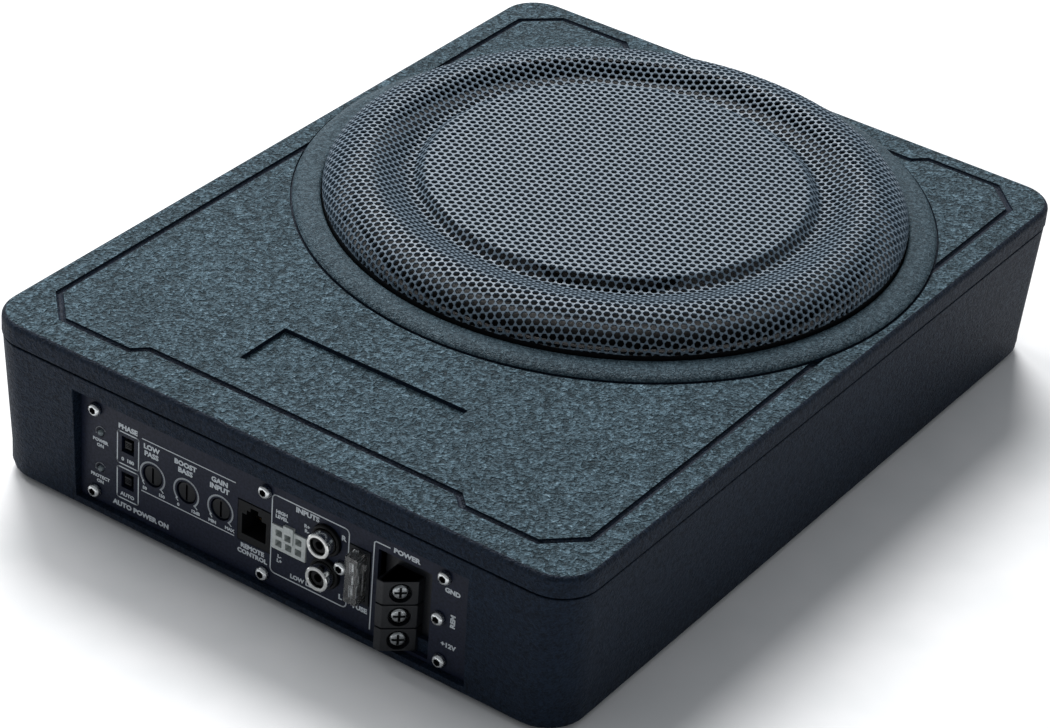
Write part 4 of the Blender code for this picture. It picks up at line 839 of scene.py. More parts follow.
    def _tub(self) -> None:
        """Tub with its pocket for the control panel."""
        base, seam = SHELL.base, SHELL.top - SHELL.cover - SHELL.seam
        inside = SHELL.draft + self.tub_wall
        tub = new_piece("drafted_tub", rounded_block(self.cover_step, base, seam, SHELL.corner,
                                                     SHELL.draft - self.cover_step,
                                                     (self.bottom_round, self.edge_round)))
        tongue = self.cover_wall + GAP
        join(tub, rounded_block(tongue, base + self.floor_t, seam + self.tongue_h, SHELL.corner - tongue))
        cut(tub, rounded_block(inside, base + self.floor_t, SHELL.top, SHELL.corner - inside))
        half, high = self.pocket_x + self.frame_w, SHELL.height - SHELL.cover - SHELL.seam - self.floor_t
        join(tub, put_box(bmesh.new(), SHELL.at(-half, self.floor_t / 2, inside - self.tub_wall / 2),
                          SHELL.at(half, high, self.frame_back)))
        cut(tub, put_box(bmesh.new(), SHELL.at(-self.pocket_x, self.pocket_low, -SHELL.panel_face),
                         SHELL.at(self.pocket_x, self.pocket_high, self.seat_depth)))
        self._pocket_chamfer(tub)
        cut(tub, put_box(bmesh.new(), SHELL.at(*self.window_low, self.seat_depth - GAP),
                         SHELL.at(*self.window_high, self.frame_back + GAP)))
        bm = bmesh.new()
        for x, y in SHELL.corners(self.foot_edge).values():
            put_rod(bm, (x, y, 0), (x, y, base + self.foot_seat), self.foot_r + GAP, segments=32)
        for x, y in SHELL.corners(self.post_edge).values():
            put_rod(bm, (x, y, 0), (x, y, base + self.floor_t + GAP), self.screw.head_r + 0.4 * MM)
        cut(tub, bm)
        bm = bmesh.new()
        for x, y in SHELL.corners(self.post_edge).values():
            place = Matrix.Translation((x, y, base + self.floor_t / 2))
            post = new_piece("post", moved(turned(self.post, 24, unit=MM), place))
            bm.from_mesh(post.data)
            bpy.data.objects.remove(post, do_unlink=True)
        join(tub, bm)
        # The tub's sides take the darker coat too: painted shade, as the sides get little light.
        dress(tub, SHADE_PAINTED_COAT, nodes=["main_body"])

    def _pocket_chamfer(self, tub: Piece) -> None:
        """Break the pocket's sharp front edge.

        Args:
            tub: The tub, with its pocket cut.
        """
        wide = self.pocket_chamfer
        lean = SHELL.draft * (1 - self.pocket_high / (SHELL.height - SHELL.cover))
        bm = put_box(bmesh.new(), SHELL.at(-self.pocket_x, self.pocket_low, -wide),
                     SHELL.at(self.pocket_x, self.pocket_high, wide + lean))
        for vert in bm.verts:
            if vert.co.y < SHELL.front:
                vert.co.x += math.copysign(2 * wide, vert.co.x)
                vert.co.z += 2 * wide if vert.co.z > SHELL.base + SHELL.height / 2 else 0.0
        cut(tub, bm)

    def _feet(self) -> None:
        """Rubber feet with a soft lower edge."""
        r, seat = self.foot_r, SHELL.base + self.foot_seat - GAP
        profile = [(0.0, 0.2 * MM), (r - 2.6 * MM, 0.2 * MM), (r - 2.2 * MM, 0.0), (r - 1.2 * MM, 0.0),
                   (r - 0.5 * MM, 0.4 * MM), (r - 0.15 * MM, 1.4 * MM), (r, seat), (0.0, seat)]
        for name, (x, y) in SHELL.corners(self.foot_edge).items():
            shape = moved(turned(profile, 32, closed=False), Matrix.Translation((x, y, 0)))
            foot = new_piece("rubber_foot_" + name, shape)
            dress(foot, RUBBER, nodes=["foot_" + name])

    def _screws(self) -> None:
        """Screws that hold the cover from underneath."""
        for name, (x, y) in SHELL.corners(self.post_edge).items():
            seat = (x, y, SHELL.base + self.screw_seat - GAP)
            screw = self.screw.build("housing_screw_" + name, seat, (0, 0, -1), BLACK_STEEL)
            dress(screw, BLACK_STEEL, nodes=["cover_screw_" + name])


# --- Grille ---------------------------------------------------------------------------
@dataclass(frozen=True)
class Grille:
    """Perforated sheet, pressed with a raised disc, on a black ring."""

    skirt_h: float = 4.2 * MM         # height at which the sheet's edge meets the ring
    ring_t: float = 3.0 * MM
    pitch: float = 3.09 * MM          # hole to hole, in rows along Y
    hole_r: float = 1.43 * MM         # stretched where the sheet is drawn
    disc_hole_r: float = 1.33 * MM
    sheet_t: float = 0.8 * MM
    hem: float = 1.1 * MM             # width of the ring's seat for the sheet
    crest_h: float = 15.0 * MM
    valley_h: float = 9.7 * MM
    disc_h: float = 13.2 * MM
    crest_in: float = 16.0 * MM
    disc_in: float = 38.0 * MM
    valley_w: float = 4.6 * MM
    step_bend: float = 1.6            # how late the step to the disc rises

    @property
    def edge(self) -> float:
        """Outer radius of the ring and the sheet."""
        return SHELL.well_r - GAP

    def build(self) -> None:
        """Build and dress the ring and the sheet."""
        self._ring()
        self._sheet()

    def _ring(self) -> None:
        """Black ring that carries the sheet."""
        top, low = SHELL.top + self.skirt_h, SHELL.top - SHELL.ledge + GAP
        outer, inner = self.edge, self.edge - self.ring_t
        seat, lip = outer - self.hem, top + self.sheet_t
        profile = [(outer, top), (outer, low), (inner, low), (inner, lip), (seat, lip), (seat, top)]
        ring = new_piece("grille_ring", moved(turned(profile, SMOOTH), WELL))
        dress(ring, BLACK_ABS, nodes=["grille_frame"])

    def _height(self, radius: np.ndarray) -> np.ndarray:
        """Work out the pressed sheet's profile.

        Args:
            radius: Radii, from the middle out.
        Returns:
            Height of the sheet's upper side at each.
        """
        top = SHELL.top
        edge_z = top + self.skirt_h
        crest, crest_z = self.edge - self.crest_in, top + self.crest_h
        disc, disc_z = self.edge - self.disc_in, top + self.disc_h
        valley, valley_z = disc + self.valley_w, top + self.valley_h
        outer = np.clip((radius - crest) / self.crest_in, 0.0, 1.0)
        z = edge_z + (crest_z - edge_z) * np.sqrt(np.clip(1.0 - outer ** 2, 0.0, 1.0))
        slope = np.clip((crest - radius) / (crest - valley), 0.0, 1.0)
        z = np.where(radius < crest, crest_z + (valley_z - crest_z) * (1 - np.cos(math.pi * slope)) / 2, z)
        bend = np.clip((valley - radius) / self.valley_w, 0.0, 1.0)
        rise = valley_z + (disc_z - valley_z) * np.sin(math.pi / 2 * bend ** self.step_bend)
        return np.where(radius < valley, rise, z)

    def _lattice(self, reach: float) -> BMesh:
        """Make the flat sheet with its six-sided holes, before it is pressed.

        Args:
            reach: Radius that the sheet has to cover.
        Returns:
            The sheet about the origin, its rim not yet cut.
        """
        row = self.pitch * math.sqrt(0.75)
        rows = 2 * int(reach / row) + 8
        bm = bmesh.new()
        bmesh.ops.create_grid(bm, x_segments=2 * rows, y_segments=rows, size=0.5)
        moved(bm, Matrix(((0, rows * row, 0, 0), (2 * rows * self.pitch, rows * self.pitch / 2, 0, 0),
                          (0, 0, 1, 0), (0, 0, 0, 1))))
        far = [vert for vert in bm.verts if vert.co.length > reach + 3 * self.pitch]
        bmesh.ops.delete(bm, geom=far, context='VERTS')
        for face in list(bm.faces):
            spans = [(face.verts[i].co - face.verts[i + 2].co).length for i in (0, 1)]
            pair = (0, 2) if spans[0] < spans[1] else (1, 3)
            bmesh.utils.face_split(face, face.verts[pair[0]], face.verts[pair[1]])
        inner = [vert for vert in bm.verts if vert.link_faces and not vert.is_boundary]
        disc_r = self.edge - self.disc_in
        disc = [vert for vert in inner if vert.co.length < disc_r]
        drawn = [vert for vert in inner if vert.co.length >= disc_r]
        for verts, hole_r in ((disc, self.disc_hole_r), (drawn, self.hole_r)):
            holes = bmesh.ops.bevel(bm, geom=verts, offset=hole_r, offset_type='OFFSET', segments=1,
                                    profile=0.5, affect='VERTICES', material=-1)
            bmesh.ops.delete(bm, geom=holes["faces"], context='FACES_ONLY')
        return bm

    def _sheet(self) -> None:
        """Punch the holes, crop the sheet round and press it to its profile."""
        radius = self.edge * np.sin(np.linspace(0.0, math.pi / 2, 2400))
        height = self._height(radius)
        reach = np.concatenate(([0.0], np.cumsum(np.hypot(np.diff(radius), np.diff(height)))))
        bm = self._lattice(float(reach[-1]))
        outside = set()
        for vert in bm.verts:
            if vert.co.xy.length > reach[-1]:
                vert.co *= reach[-1] / vert.co.xy.length
                outside.add(vert)
        gone = [face for face in bm.faces if outside.issuperset(face.verts)]
        bmesh.ops.delete(bm, geom=gone, context='FACES')
        bmesh.ops.remove_doubles(bm, verts=bm.verts[:], dist=0.01 * MM)
        flat = np.array([vert.co.xy.length for vert in bm.verts])
        pressed = np.interp(flat, reach, radius)
        level = np.interp(pressed, radius, height)
        for vert, old, new, z in zip(bm.verts, flat, pressed, level):
            share = new / max(old, MM / 1000)
            vert.co = (vert.co.x * share, vert.co.y * share + SHELL.well_y, z)
        sheet = new_piece("perforated_sheet", bm)
        if sheet.data.polygons[0].normal.z < 0:
            sheet.data.flip_normals()
        wall = sheet.modifiers.new("thickness", 'SOLIDIFY')
        wall.thickness = self.sheet_t
        wall.offset = -1.0
        fix_modifiers(sheet)
        dress(sheet, SHEET_PAINT, nodes=["grille_mesh"], smooth=50.0)


# --- Woofer ---------------------------------------------------------------------------
@dataclass(frozen=True)
class Woofer:
    """Driver behind the grille. Its rubber and cloth rings are built in sectors."""

    sectors: int = 16
    roll_out: float = 97.3 * MM
    roll_r: float = 6.2 * MM
    roll_t: float = 0.8 * MM
    flange: float = 3.0 * MM
    edge_r: float = 100.1 * MM
    roll_z: float = 64.3 * MM
    spider_in: float = 20.95 * MM
    spider_out: float = 57.2 * MM
    spider_z: float = 35.3 * MM
    spider_t: float = 0.6 * MM
    rim: Point = (3.4 * MM, 0.5 * MM)       # surround's margins that don't bend: outer and inner
    seats: Point = (2.5 * MM, 2.0 * MM)     # the spider's
    flats: Point = (4.2 * MM, 3.0 * MM)     # and how far the spider is flat
    wave: float = 1.2 * MM
    waves: int = 4
    screw: Screw = Screw(2.4 * MM, 1.8 * MM, 1.35 * MM, 4.7 * MM, Drive.CROSS)

    def build(self) -> None:
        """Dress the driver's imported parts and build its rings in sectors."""
        for node, finish in (("yoke", YOKE_STEEL), ("top_plate", YOKE_STEEL), ("magnet", FERRITE),
                             ("basket", BASKET_PAINT), ("cone", PULP), ("dust_cap", PULP),
                             ("voice_coil", ENAMEL_WIRE)):
            dress_node(node, finish)
        for i in range(4):
            low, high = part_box("woofer_screw_%d" % (i + 1))
            seat = Vector(((low.x + high.x) / 2, (low.y + high.y) / 2, high.z - self.screw.head_h))
            made = self.screw.build("rim_screw_%d" % (i + 1), seat, (0, 0, 1), BLACK_STEEL)
            dress(made, BLACK_STEEL, nodes=["woofer_screw_%d" % (i + 1)])
        self._ring("surround", self._roll_profile(), self.edge_r - self.rim[0],
                   self.roll_out - 2 * self.roll_r - self.rim[1], BUTYL)
        self._ring("spider", self._wave_profile(), self.spider_out - self.seats[0],
                   self.spider_in + self.seats[1], RESIN_CLOTH)

    def _roll_profile(self) -> list[Point]:
        """Half roll between two flanges."""
        middle = self.roll_out - self.roll_r
        inner = self.roll_out - 2 * self.roll_r - self.flange
        turns = [math.pi * i / 10 for i in range(11)]
        low, high = self.roll_r - self.roll_t / 2, self.roll_r + self.roll_t / 2
        under = [(middle + low * math.cos(t), self.roll_z + low * math.sin(t)) for t in turns]
        over = [(middle + high * math.cos(t), self.roll_z + self.roll_t + (high - self.roll_t) * math.sin(t))
                for t in turns]
        return [(self.edge_r, self.roll_z + self.roll_t), (self.edge_r, self.roll_z), *under,
                (inner, self.roll_z), (inner, self.roll_z + self.roll_t), *reversed(over)]

    def _wave_profile(self) -> list[Point]:
        """Corrugated cloth between its two seats."""
        start, end = self.spider_in + self.flats[1], self.spider_out - self.flats[0]
        count = 8 * self.waves
        ripple = [(start + (end - start) * i / count,
                   self.spider_z + self.wave * abs(math.sin(math.pi * self.waves * i / count)))
                  for i in range(count + 1)]
        line = [(self.spider_in, self.spider_z), *ripple, (self.spider_out, self.spider_z)]
        return line + [(radius, height + self.spider_t) for radius, height in reversed(line)]

    def _ring(self, node: str, profile: Sequence[Point], still: float, moving: float, finish: Finish) -> None:
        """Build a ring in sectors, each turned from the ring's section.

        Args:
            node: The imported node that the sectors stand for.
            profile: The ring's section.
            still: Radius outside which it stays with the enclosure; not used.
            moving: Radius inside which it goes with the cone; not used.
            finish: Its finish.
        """
        step = math.tau / self.sectors
        for i in range(self.sectors):
            bm = bmesh.new()
            verts = [bm.verts.new((radius, 0.0, height)) for radius, height in profile]
            start = bm.faces.new(verts)
            bmesh.ops.spin(bm, geom=[start], cent=(0, 0, 0), axis=(0, 0, 1), angle=step, steps=6)
            moved(bm, WELL @ Matrix.Rotation(i * step, 4, 'Z'))
            piece = new_piece("%s_sector_%02d" % (node, i + 1), bm)
            paint(piece, finish)
            crisp(piece, 40.0)
            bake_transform(piece)
            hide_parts(node)
        LOG.info("%s bends in %d sectors", node, self.sectors)


def dress_node(node: str, finish: Finish) -> None:
    """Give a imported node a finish, and leave its shape.

    Args:
        node: The node's name.
        finish: Its finish.
    """
    paint(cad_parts[node], finish)
    LOG.info("%s keeps its packed shape", node)


# --- Printing on the panel ------------------------------------------------------------
@dataclass
class Printing:
    """White ink on the control panel: words, frames and scales, as one thin piece, in millimetres."""

    thickness: float = 0.06
    line: float = 0.45
    weight: float = 0.07              # how much the strokes are thickened, per capital's height
    capital: float = 0.7              # height of the font's capitals, per size
    bm: BMesh = field(default_factory=bmesh.new)

    def word(self, text: str, x: float, height: float, size: float, turn: float = 0.0,
             wide: float = 1.1) -> None:
        """Print a word centred on a place of the panel.

        Args:
            text: The word.
            x: Its middle along the panel.
            height: Its middle over the enclosure's bottom.
            size: Height of its capitals.
            turn: Turn against the clock, in degrees.
            wide: Stretch of the letters along the line.
        """
        curve = bpy.data.curves.new("word", 'FONT')
        curve.body = text
        curve.size = size * MM / self.capital
        curve.align_x = 'CENTER'
        curve.align_y = 'CENTER'
        curve.resolution_u = 2
        curve.extrude = self.thickness * MM / 2
        curve.offset = self.weight * size * MM
        thing = in_scene("word", curve)
        mesh = shown_mesh(thing)
        bpy.data.objects.remove(thing, do_unlink=True)
        place = Matrix.Translation(spot(x, height)) @ Matrix.Rotation(math.pi / 2, 4, 'X')
        slant = Matrix.Rotation(math.radians(turn), 4, 'Z')
        mesh.transform(place @ slant @ Matrix.Diagonal((wide, 1.0, 1.0, 1.0)))
        self.bm.from_mesh(mesh)

    def path(self, points: Sequence[Point], line: Optional[float] = None) -> None:
        """Print a line.

        Args:
            points: Points of the panel that it goes through.
            line: Its width, if not the usual.
        """
        width = (line or self.line) * MM
        for first, last in zip(points, points[1:]):
            start, end = spot(*first), spot(*last)
            way = end - start
            place = Matrix.Translation((start + end) / 2) @ Matrix.Rotation(-math.atan2(way.z, way.x), 4, 'Y')
            size = Matrix.Diagonal((way.length + 0.6 * width, self.thickness * MM, width, 1.0))
            bmesh.ops.create_cube(self.bm, size=1.0, matrix=place @ size)

    def frame(self, x0: float, x1: float, z0: float, z1: float, radius: float) -> None:
        """Print a rectangle with round corners.

        Args:
            x0: Its left side.
            x1: Its right side.
            z0: Its lower side.
            z1: Its upper side.
            radius: Radius of its corners.
        """
        points: list[Point] = []
        for cx, cz, first in ((x1 - radius, z1 - radius, 0), (x0 + radius, z1 - radius, 90),
                              (x0 + radius, z0 + radius, 180), (x1 - radius, z0 + radius, 270)):
            points += self._round(cx, cz, radius, first, first + 90, 4)
        self.path(points + points[:1])

    def arc(self, x: float, height: float, radius: float, first: float, last: float, line: float) -> None:
        """Print an arc from one angle to another, in degrees against the clock."""
        self.path(self._round(x, height, radius, first, last, 30), line)

    @staticmethod
    def _round(x: float, height: float, radius: float, first: float, last: float, steps: int) -> list[Point]:
        """Points along an arc."""
        angles = [math.radians(first + (last - first) * i / steps) for i in range(steps + 1)]
        return [(x + radius * math.cos(angle), height + radius * math.sin(angle)) for angle in angles]

    def finish(self) -> None:
        """Make the printing one piece."""
        dress(new_piece("panel_printing", self.bm), PRINT_INK)


# --- Control panel --------------------------------------------------------------------
@dataclass(frozen=True)
class ControlPanel:
    """Recessed panel with its controls, sockets and printing, in millimetres.

    Profiles are (radius, distance in front of the part's seat). Words are the text, its middle
    along the panel and over the bottom, and the height of its capitals.
    """

    screws: dict[str, Point] = field(default_factory=lambda: {
        "top_left": (-77.4, 42.1), "bottom_left": (-77.4, 8.0), "top_middle": (-2.1, 41.9),
        "bottom_middle": (-2.1, 7.9), "top_right": (72.9, 42.0), "middle_right": (71.3, 24.7),
        "bottom_right": (72.9, 7.9), "inputs": (30.9, 25.9)})
    screw: Screw = Screw(2.6 * MM, 1.9 * MM, 1.3 * MM, 6.1 * MM, Drive.HEX)
    led_x: float = -75.2
    leds: dict[str, float] = field(default_factory=lambda: {"power_led": 33.0, "protect_led": 17.9})
    led_r: float = 1.3
    led_back: float = 6.0
    switch_x: float = -63.0
    switch_frames: tuple[Point, ...] = ((24.3, 37.6), (9.8, 22.8))
    rib: float = 0.3
    pots: dict[str, float] = field(default_factory=lambda: {
        "low_pass": -51.8, "bass_boost": -36.7, "input_gain": -21.6})
    pot_h: float = 25.1
    knob_r: float = 4.0
    knob_slot: float = 0.9
    knob_proud: float = 1.8
    jack: Point = (-6.7, 25.2)
    jack_size: Point = (14.2, 16.4)
    jack_steps: tuple[Point, ...] = ((10.4, 4.2), (6.448, 6.0), (3.328, 7.6))
    contacts: int = 6
    contact_pitch: float = 1.02
    header: Point = (8.2, 25.1)
    header_size: Point = (14.6, 10.0)
    pin_pitch: float = 4.2
    way: float = 2.7
    rca_x: float = 24.1
    rca: dict[str, float] = field(default_factory=lambda: {"rca_shell_right": 33.9, "rca_shell_left": 20.4})
    rca_well: tuple[Point, ...] = (
        (0.0, -3.0), (5.9, -3.0), (5.9, 1.1), (5.6, 1.4), (5.0, 1.4), (5.0, -1.9), (3.0, -1.9), (3.0, 4.1),
        (2.7, 4.3), (1.6, 4.3), (1.6, -2.3), (0.0, -2.3))
    rca_shell: tuple[Point, ...] = (
        (3.5, 5.5), (4.35, 5.5), (4.7, 5.2), (4.7, 1.2), (4.45, 1.0), (4.45, 0.6), (4.7, 0.4), (4.7, -1.8),
        (3.3, -1.8), (3.3, 5.2))
    fuse: Point = (38.0, 26.0)
    fuse_size: Point = (5.6, 19.0)
    fuse_seat: float = 9.5
    fuse_window: Point = (2.2, 5.2)
    fuse_blade: Point = (0.8, 5.0)
    fuse_strip: Point = (0.7, 3.0)
    fuse_link: Point = (0.6, 7.2)
    back: float = 18.0
    pot_words: tuple[tuple[str, ...], ...] = (
        ("LOW", "PASS", "50", "150"), ("BOOST", "BASS", "0", "12dB"), ("GAIN", "INPUT", "MIN", "MAX"))
    words: tuple[tuple[str, float, float, float], ...] = (
        ("PHASE", -63.0, 39.6, 1.9), ("0  180", -63.0, 26.4, 1.4), ("AUTO", -63.0, 11.7, 1.4),
        ("AUTO POWER ON", -56.8, 6.9, 1.9), ("POWER", -75.4, 29.4, 1.25), ("ON", -75.4, 27.4, 1.25),
        ("PROTECT", -75.4, 14.3, 1.25), ("ON", -75.4, 12.3, 1.25), ("REMOTE", -7.3, 14.9, 1.7),
        ("CONTROL", -7.3, 12.4, 1.7), ("INPUTS", 15.6, 40.1, 1.9), ("LOW LEVEL", 15.8, 11.9, 1.6),
        ("HIGH", 4.8, 35.6, 1.3), ("LEVEL", 4.8, 33.7, 1.3), ("R+", 15.6, 35.2, 1.3), ("R-", 15.6, 33.3, 1.3),
        ("L-", 4.4, 17.6, 1.3), ("L+", 4.4, 15.7, 1.3), ("R", 31.0, 37.6, 1.9), ("L", 30.6, 13.2, 1.9),
        ("FUSE", 39.0, 12.4, 1.8), ("GND", 76.0, 36.9, 1.75), ("+12V", 75.6, 14.8, 1.75))

    def build(self) -> None:
        """Build and dress every piece of the panel."""
        dress_node("control_panel", PANEL_PAINT)
        for node in ("phase_switch_body", "power_switch_body", "low_pass_body", "bass_boost_body",
                     "input_gain_body", "fuse_holder"):
            dress_node(node, PBT)
        for name, place in self.screws.items():
            screw = self.screw.build("socket_screw_" + name, spot(*place, FACE - SLACK), FORWARD, ZINC)
            dress(screw, ZINC, nodes=["panel_screw_" + name])
        self._leds()
        self._switch_knobs()
        self._pot_knobs()
        self._jack()
        self._header()
        self._line_inputs()
        self._fuse()
        self._print()

    def _turned(self, name: str, profile: Sequence[Point], steps: int, seat: Vector) -> Piece:
        """Make a solid turned part that faces forward from its seat."""
        return new_piece(name, moved(turned(profile, steps, False, MM), facing(seat, FORWARD)))

    def _leds(self) -> None:
        """Domed lamps."""
        r = self.led_r
        dome = [(r * math.sin(t), r * math.cos(t)) for t in (0.4, 0.8, 1.2, 1.57)]
        profile = [(0.0, r), *dome, (r, -self.led_back), (0.0, -self.led_back)]
        for node, height in self.leds.items():
            lamp = self._turned(node + "_lens", profile, 20, spot(self.led_x, height, FACE + 0.2))
            dress(lamp, LENS, nodes=[node])

    def _switch_knobs(self) -> None:
        """Ribbed slide knobs."""
        for name in ("phase", "power"):
            node = name + "_switch_knob"
            low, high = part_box(node)
            knob = new_piece(name + "_switch_slider", put_box(bmesh.new(), low, high, 0.2 * MM))
            for share in (0.3, 0.5, 0.7):
                z = low.z + (high.z - low.z) * share
                cut(knob, put_box(bmesh.new(), (low.x - MM, low.y - MM, z - self.rib * MM / 2),
                                  (high.x + MM, low.y + 0.25 * MM, z + self.rib * MM / 2)))
            dress(knob, PBT, name + "_knob", [node])

    def _pot_knobs(self) -> None:
        """Slotted discs of the rotary controls."""
        r = self.knob_r
        profile = [(0.0, 1.5), (r - 0.7, 1.5), (r - 0.25, 1.35), (r, 1.0), (r, 0.0), (2.4, 0.0), (2.4, -5.0),
                   (0.0, -5.0)]
        for name, x in self.pots.items():
            knob = self._turned(name + "_dial", profile, 40, spot(x, self.pot_h, FACE + self.knob_proud))
            cut(knob, slab(x, self.pot_h, self.knob_slot, 1.6 * r, FACE, FACE + 1.1))
            dress(knob, PBT, name + "_control", [name + "_knob"])

    def _jack(self) -> None:
        """Remote control socket with its stepped opening and sprung contacts."""
        x, height = self.jack
        jack = new_piece("remote_socket", slab(*self.jack, *self.jack_size, FACE - SLACK, self.back, 0.3))
        middle, floor = height - 0.9, height - 5.1
        for wide, up in self.jack_steps:
            cut(jack, slab(x, (floor + middle + up) / 2, wide, middle + up - floor, 0.0, self.back - 2.4))
        dress(jack, BLACK_ABS, nodes=["remote_jack"])
        bm = bmesh.new()
        for i in range(self.contacts):
            at = x + (i - (self.contacts - 1) / 2) * self.contact_pitch
            put_rod(bm, spot(at, floor + 0.1, self.back - 3.0), spot(at, middle + 1.4, 9.0), 0.2 * MM,
                    segments=6)
        dress(new_piece("remote_contacts", bm), GOLD)

    def _header(self) -> None:
        """White socket with six square ways, a pin in each, and a latch."""
        x, height = self.header
        front = FACE - SLACK
        header = new_piece("wiring_socket", slab(*self.header, *self.header_size, front, self.back, 0.35))
        latch = height + self.header_size[1] / 2 + 1.6
        join(header, slab(x, (height + latch) / 2, 4.4, latch - height, front - 2 * SLACK, 7.8, 0.3))
        pins = bmesh.new()
        for i, j in ((i, j) for i in (-1, 0, 1) for j in (-0.5, 0.5)):
            at = (x + i * self.pin_pitch, height + j * self.pin_pitch)
            cut(header, slab(*at, self.way, self.way, 0.0, 7.4, 0.3))
            put_rod(pins, spot(*at, 8.0), spot(*at, 6.4), 0.55 * MM, 0.4 * MM, 8)
        dress(header, NYLON, nodes=["input_header"])
        dress(new_piece("wiring_pins", pins), TIN)

    def _line_inputs(self) -> None:
        """Two line inputs: black collars, nickel shells and a hole for the plug's pin."""
        low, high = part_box("rca_block")
        front = (low.x, SHELL.front + SHELL.panel_back + GAP, low.z)
        inputs = new_piece("line_input_block", put_box(bmesh.new(), front, high, 0.2 * MM))
        for node, height in self.rca.items():
            at = facing(spot(self.rca_x, height), FORWARD)
            join(inputs, moved(turned(self.rca_well, 40, False, MM), at))
            shell = new_piece("nickel" + node[3:], moved(turned(self.rca_shell, 40, unit=MM), at))
            dress(shell, NICKEL, nodes=[node])
        dress(inputs, BLACK_ABS, nodes=["rca_block"])

    def _fuse(self) -> None:
        """Clear blade fuse with its link showing inside."""
        x, height = self.fuse
        seat = self.fuse_seat
        body = new_piece("fuse_body", slab(x, height, *self.fuse_size, 0.0, seat, 0.5))
        metal = bmesh.new()
        for side in (-1, 1):
            cut(body, slab(x, height + side * 4.6, *self.fuse_window, 1.0, seat + 1.0, 0.3))
            cut(body, slab(x + side * 2.9, height, 1.0, 13.0, -1.0, 3.4, 0.2))
            slab(x, height + side * 5.9, *self.fuse_blade, seat - 2.0, seat + 5.5, 0.1, metal)
            slab(x, height + side * 4.9, *self.fuse_strip, 1.6, seat - 1.9, bm=metal)
        slab(x, height, *self.fuse_link, 2.6, 3.6, bm=metal)
        dress(body, CLEAR_PC, "fuse_link", ["fuse"])
        dress(new_piece("fuse_blades", metal), TIN, "fuse_link")

    def _print(self) -> None:
        """Words, frames and scales of the panel."""
        ink = Printing()
        for low, high in self.switch_frames:
            ink.frame(self.switch_x - 4.7, self.switch_x + 4.9, low, high, 0.8)
        ink.frame(0.6, 33.2, 9.8, 42.0, 1.8)
        for height in self.leds.values():
            ink.arc(self.led_x, height, 2.3, 35.0, 200.0, 0.3)
        first, last = self.pots["low_pass"] - 4.8, self.pots["input_gain"] + 6.2
        ink.path([(first, 38.8), (last, 39.1)], 0.35)
        ink.path([(first, 17.1), (last, 17.1)], 0.35)
        for x, words in zip(self.pots.values(), self.pot_words):
            places = ((-0.6, 36.2, 1.9), (-0.6, 33.4, 1.9), (-3.4, 18.7, 1.2), (4.2, 18.7, 1.2))
            for word, (across, height, size) in zip(words, places):
                ink.word(word, x + across, height, size)
            ink.arc(x, self.pot_h, 5.4, -48.0, 222.0, 0.65)
            ink.path([(x - 4.5, 21.3), (x - 3.6, 20.3)], 0.4)
            ink.path([(x + 3.7, 21.3), (x + 4.9, 20.2)], 0.4)
        for word in self.words:
            ink.word(*word)
        ink.path([(43.4, 6.1), (43.6, 42.0), (44.3, 42.7), (50.0, 42.7)])
        ink.word("POWER", 56.9, 42.6, 1.8, wide=1.2)
        ink.word("REM", 76.9, 25.4, 1.8, turn=90.0)
        ink.finish()


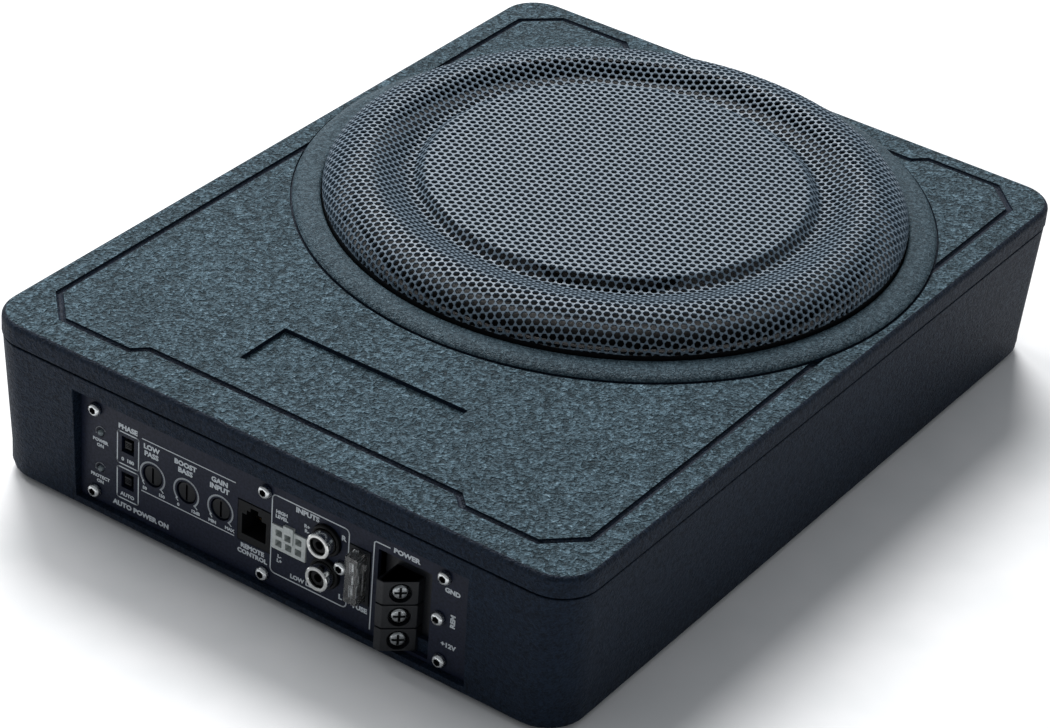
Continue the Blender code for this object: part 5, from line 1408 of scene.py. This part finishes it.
@dataclass(frozen=True)
class Terminals:
    """Supply terminals: three turned cells with a screw in each."""

    x0: float = 45.5 * MM
    x1: float = 67.6 * MM
    z0: float = 5.6 * MM
    z1: float = 40.0 * MM
    pitch: float = 9.7 * MM
    cell_gap: float = 0.6 * MM
    left: float = 50.2 * MM
    nose: float = 2.8 * MM
    right: float = 62.0 * MM
    proud: float = 7.1 * MM
    well_r: float = 3.9 * MM
    well_deep: float = 2.4 * MM
    plate: Point = (2.6 * MM, 4.0 * MM)     # plate's front behind the panel's back, and its thickness
    sink: Point = (0.8 * MM, 4.0 * MM)      # cells' right corner before the panel's back, and their depth
    core: float = 0.8 * MM                  # step of the core that joins the cells
    cell_round: float = 0.25 * MM
    names: tuple[str, ...] = ("supply", "remote", "ground")
    screw: Screw = Screw(3.2 * MM, 2.0 * MM, 1.6 * MM, 3.0 * MM, Drive.CROSS)

    def _outline(self, inset: float) -> list[Point]:
        """Work out the cells' outline from above, set in by inset."""
        front = SHELL.face_y - self.proud + inset
        corner = SHELL.front + SHELL.panel_back - self.sink[0]
        back = SHELL.front + SHELL.panel_back + self.sink[1]
        return [(self.left + inset, front), (self.left + self.nose, front), (self.right - inset, corner),
                (self.right - inset, back), (self.left + inset, back)]

    def _prism(self, inset: float, low: float, high: float, edge: float) -> BMesh:
        """Make an upright prism on the cells' outline.

        Args:
            inset: How far it stands inside the outline.
            low: Height of its underside.
            high: Height of its upper side.
            edge: Radius of its edges.
        Returns:
            The prism as a bmesh.
        """
        bm = bmesh.new()
        face = bm.faces.new([bm.verts.new((x, y, low)) for x, y in self._outline(inset)])
        made = bmesh.ops.extrude_face_region(bm, geom=[face])
        verts = [item for item in made["geom"] if isinstance(item, bmesh.types.BMVert)]
        bmesh.ops.translate(bm, vec=(0, 0, high - low), verts=verts)
        if edge:
            round_edges(bm, bm.edges[:], edge)
        return bm

    def build(self) -> None:
        """Build and dress the block and its screws."""
        back = SHELL.panel_back + self.plate[0]
        plate = put_box(bmesh.new(), SHELL.at(self.x0 + GAP, self.z0, back),
                        SHELL.at(self.x1 - GAP, self.z1, back + self.plate[1]), 0.2 * MM)
        block = new_piece("terminal_cells", plate)
        base = SHELL.base + self.z0
        join(block, self._prism(self.core, base + GAP, base + 3 * self.pitch - 2 * GAP, 0.0))
        start, end = (Vector(p) for p in self._outline(0.0)[1:3])
        along = (end - start).normalized()
        way = Vector((along.y, -along.x, 0.0))
        middle = (start + end) / 2
        for i, name in enumerate(self.names):
            low = base + i * self.pitch
            join(block, self._prism(0.0, low, low + self.pitch - self.cell_gap, self.cell_round))
            at = Vector((middle.x, middle.y, low + (self.pitch - self.cell_gap) / 2))
            floor = at - way * self.well_deep
            cut(block, put_rod(bmesh.new(), at + way * MM, floor, self.well_r, segments=40))
            screw = self.screw.build("clamp_screw_" + name, floor + way * GAP, way, DARKER_ZINC)
            dress(screw, DARKER_ZINC, name + "_screw", ["terminal_screw_" + name])
            wide, hole, under, over = self.well_r - GAP, 1.7 * MM, 0.05 * MM, 0.25 * MM
            washer = turned([(wide, under), (wide, over), (hole, over), (hole, under)], 32)
            plate = new_piece("clamp_plate_" + name, moved(washer, facing(floor, way)))
            dress(plate, BLACK_STEEL)
        dress(block, TERMINAL_PBT, nodes=["terminal_block"])


# --- Studio ---------------------------------------------------------------------------
@dataclass(frozen=True)
class Studio:
    """Pale floor, soft lights and the camera; angles are in degrees."""

    azimuth: float = 32.71
    elevation: float = 32.70
    roll: float = 4.66
    distance: float = 1.277
    target: tuple[float, float, float] = (0.0102, -0.0253, 0.0342)
    lens: float = 120.6
    sky: float = 0.36
    key: float = 3.25
    key_spread: float = 26.0
    key_from: tuple[float, float, float] = (-0.6, 0.72, 0.95)
    side: float = 6.5
    side_size: float = 0.7
    side_at: tuple[float, float, float] = (-0.75, 0.1, 0.8)

    def build(self) -> None:
        """Build the whole studio."""
        self._floor()
        self._lights()
        self._camera()

    def _floor(self) -> None:
        """Large pale floor."""
        bm = bmesh.new()
        bmesh.ops.create_grid(bm, x_segments=2, y_segments=2, size=4.0)
        floor = new_piece("floor", bm)
        paint(floor, FLOOR_PAINT)

    def _lights(self) -> None:
        """A broad soft light from behind on the left, a nearer one at the left, and an even sky."""
        world = bpy.data.worlds.new("studio")
        world.use_nodes = True
        sky = world.node_tree.nodes["Background"]
        sky.inputs["Color"].default_value = linear("#eef2f6")
        sky.inputs["Strength"].default_value = self.sky
        bpy.context.scene.world = world
        data = bpy.data.lights.new("softbox", 'SUN')
        data.energy = self.key
        data.angle = math.radians(self.key_spread)
        lamp = in_scene("softbox", data)
        lamp.rotation_euler = Vector(self.key_from).to_track_quat('Z', 'Y').to_euler()
        data = bpy.data.lights.new("side_softbox", 'AREA')
        data.energy = self.side
        data.size = self.side_size
        lamp = in_scene("side_softbox", data)
        lamp.location = self.side_at
        lamp.rotation_euler = Vector(self.side_at).to_track_quat('Z', 'Y').to_euler()
        bpy.context.scene.view_settings.view_transform = 'Standard'

    def _camera(self) -> None:
        """Camera above the control panel's right end."""
        azimuth, elevation, roll = (math.radians(v) for v in (self.azimuth, self.elevation, self.roll))
        back = Vector((math.sin(azimuth) * math.cos(elevation), -math.cos(azimuth) * math.cos(elevation),
                       math.sin(elevation)))
        right = (-back).cross(Vector((0, 0, 1))).normalized()
        up = right.cross(-back)
        across = right * math.cos(roll) + up * math.sin(roll)
        upward = -right * math.sin(roll) + up * math.cos(roll)
        data = bpy.data.cameras.new("camera")
        data.lens = self.lens
        data.sensor_width = 36.0
        camera = in_scene("camera", data)
        turn = Matrix((across, upward, back)).transposed().to_4x4()
        camera.matrix_world = Matrix.Translation(Vector(self.target) + back * self.distance) @ turn
        bpy.context.scene.camera = camera


def main() -> None:
    """Build the object and its studio."""
    logging.basicConfig(level=logging.INFO, format="%(name)s: %(message)s")
    Studio().build()
    Enclosure().build()
    Grille().build()
    Woofer().build()
    ControlPanel().build()
    Terminals().build()
    for node, finish in (("amp_board", FR4), ("toroid", ENAMEL_WIRE), ("heat_sink", SINK_ALUMINIUM)):
        dress_node(node, finish)


if __name__ == "__main__":
    main()
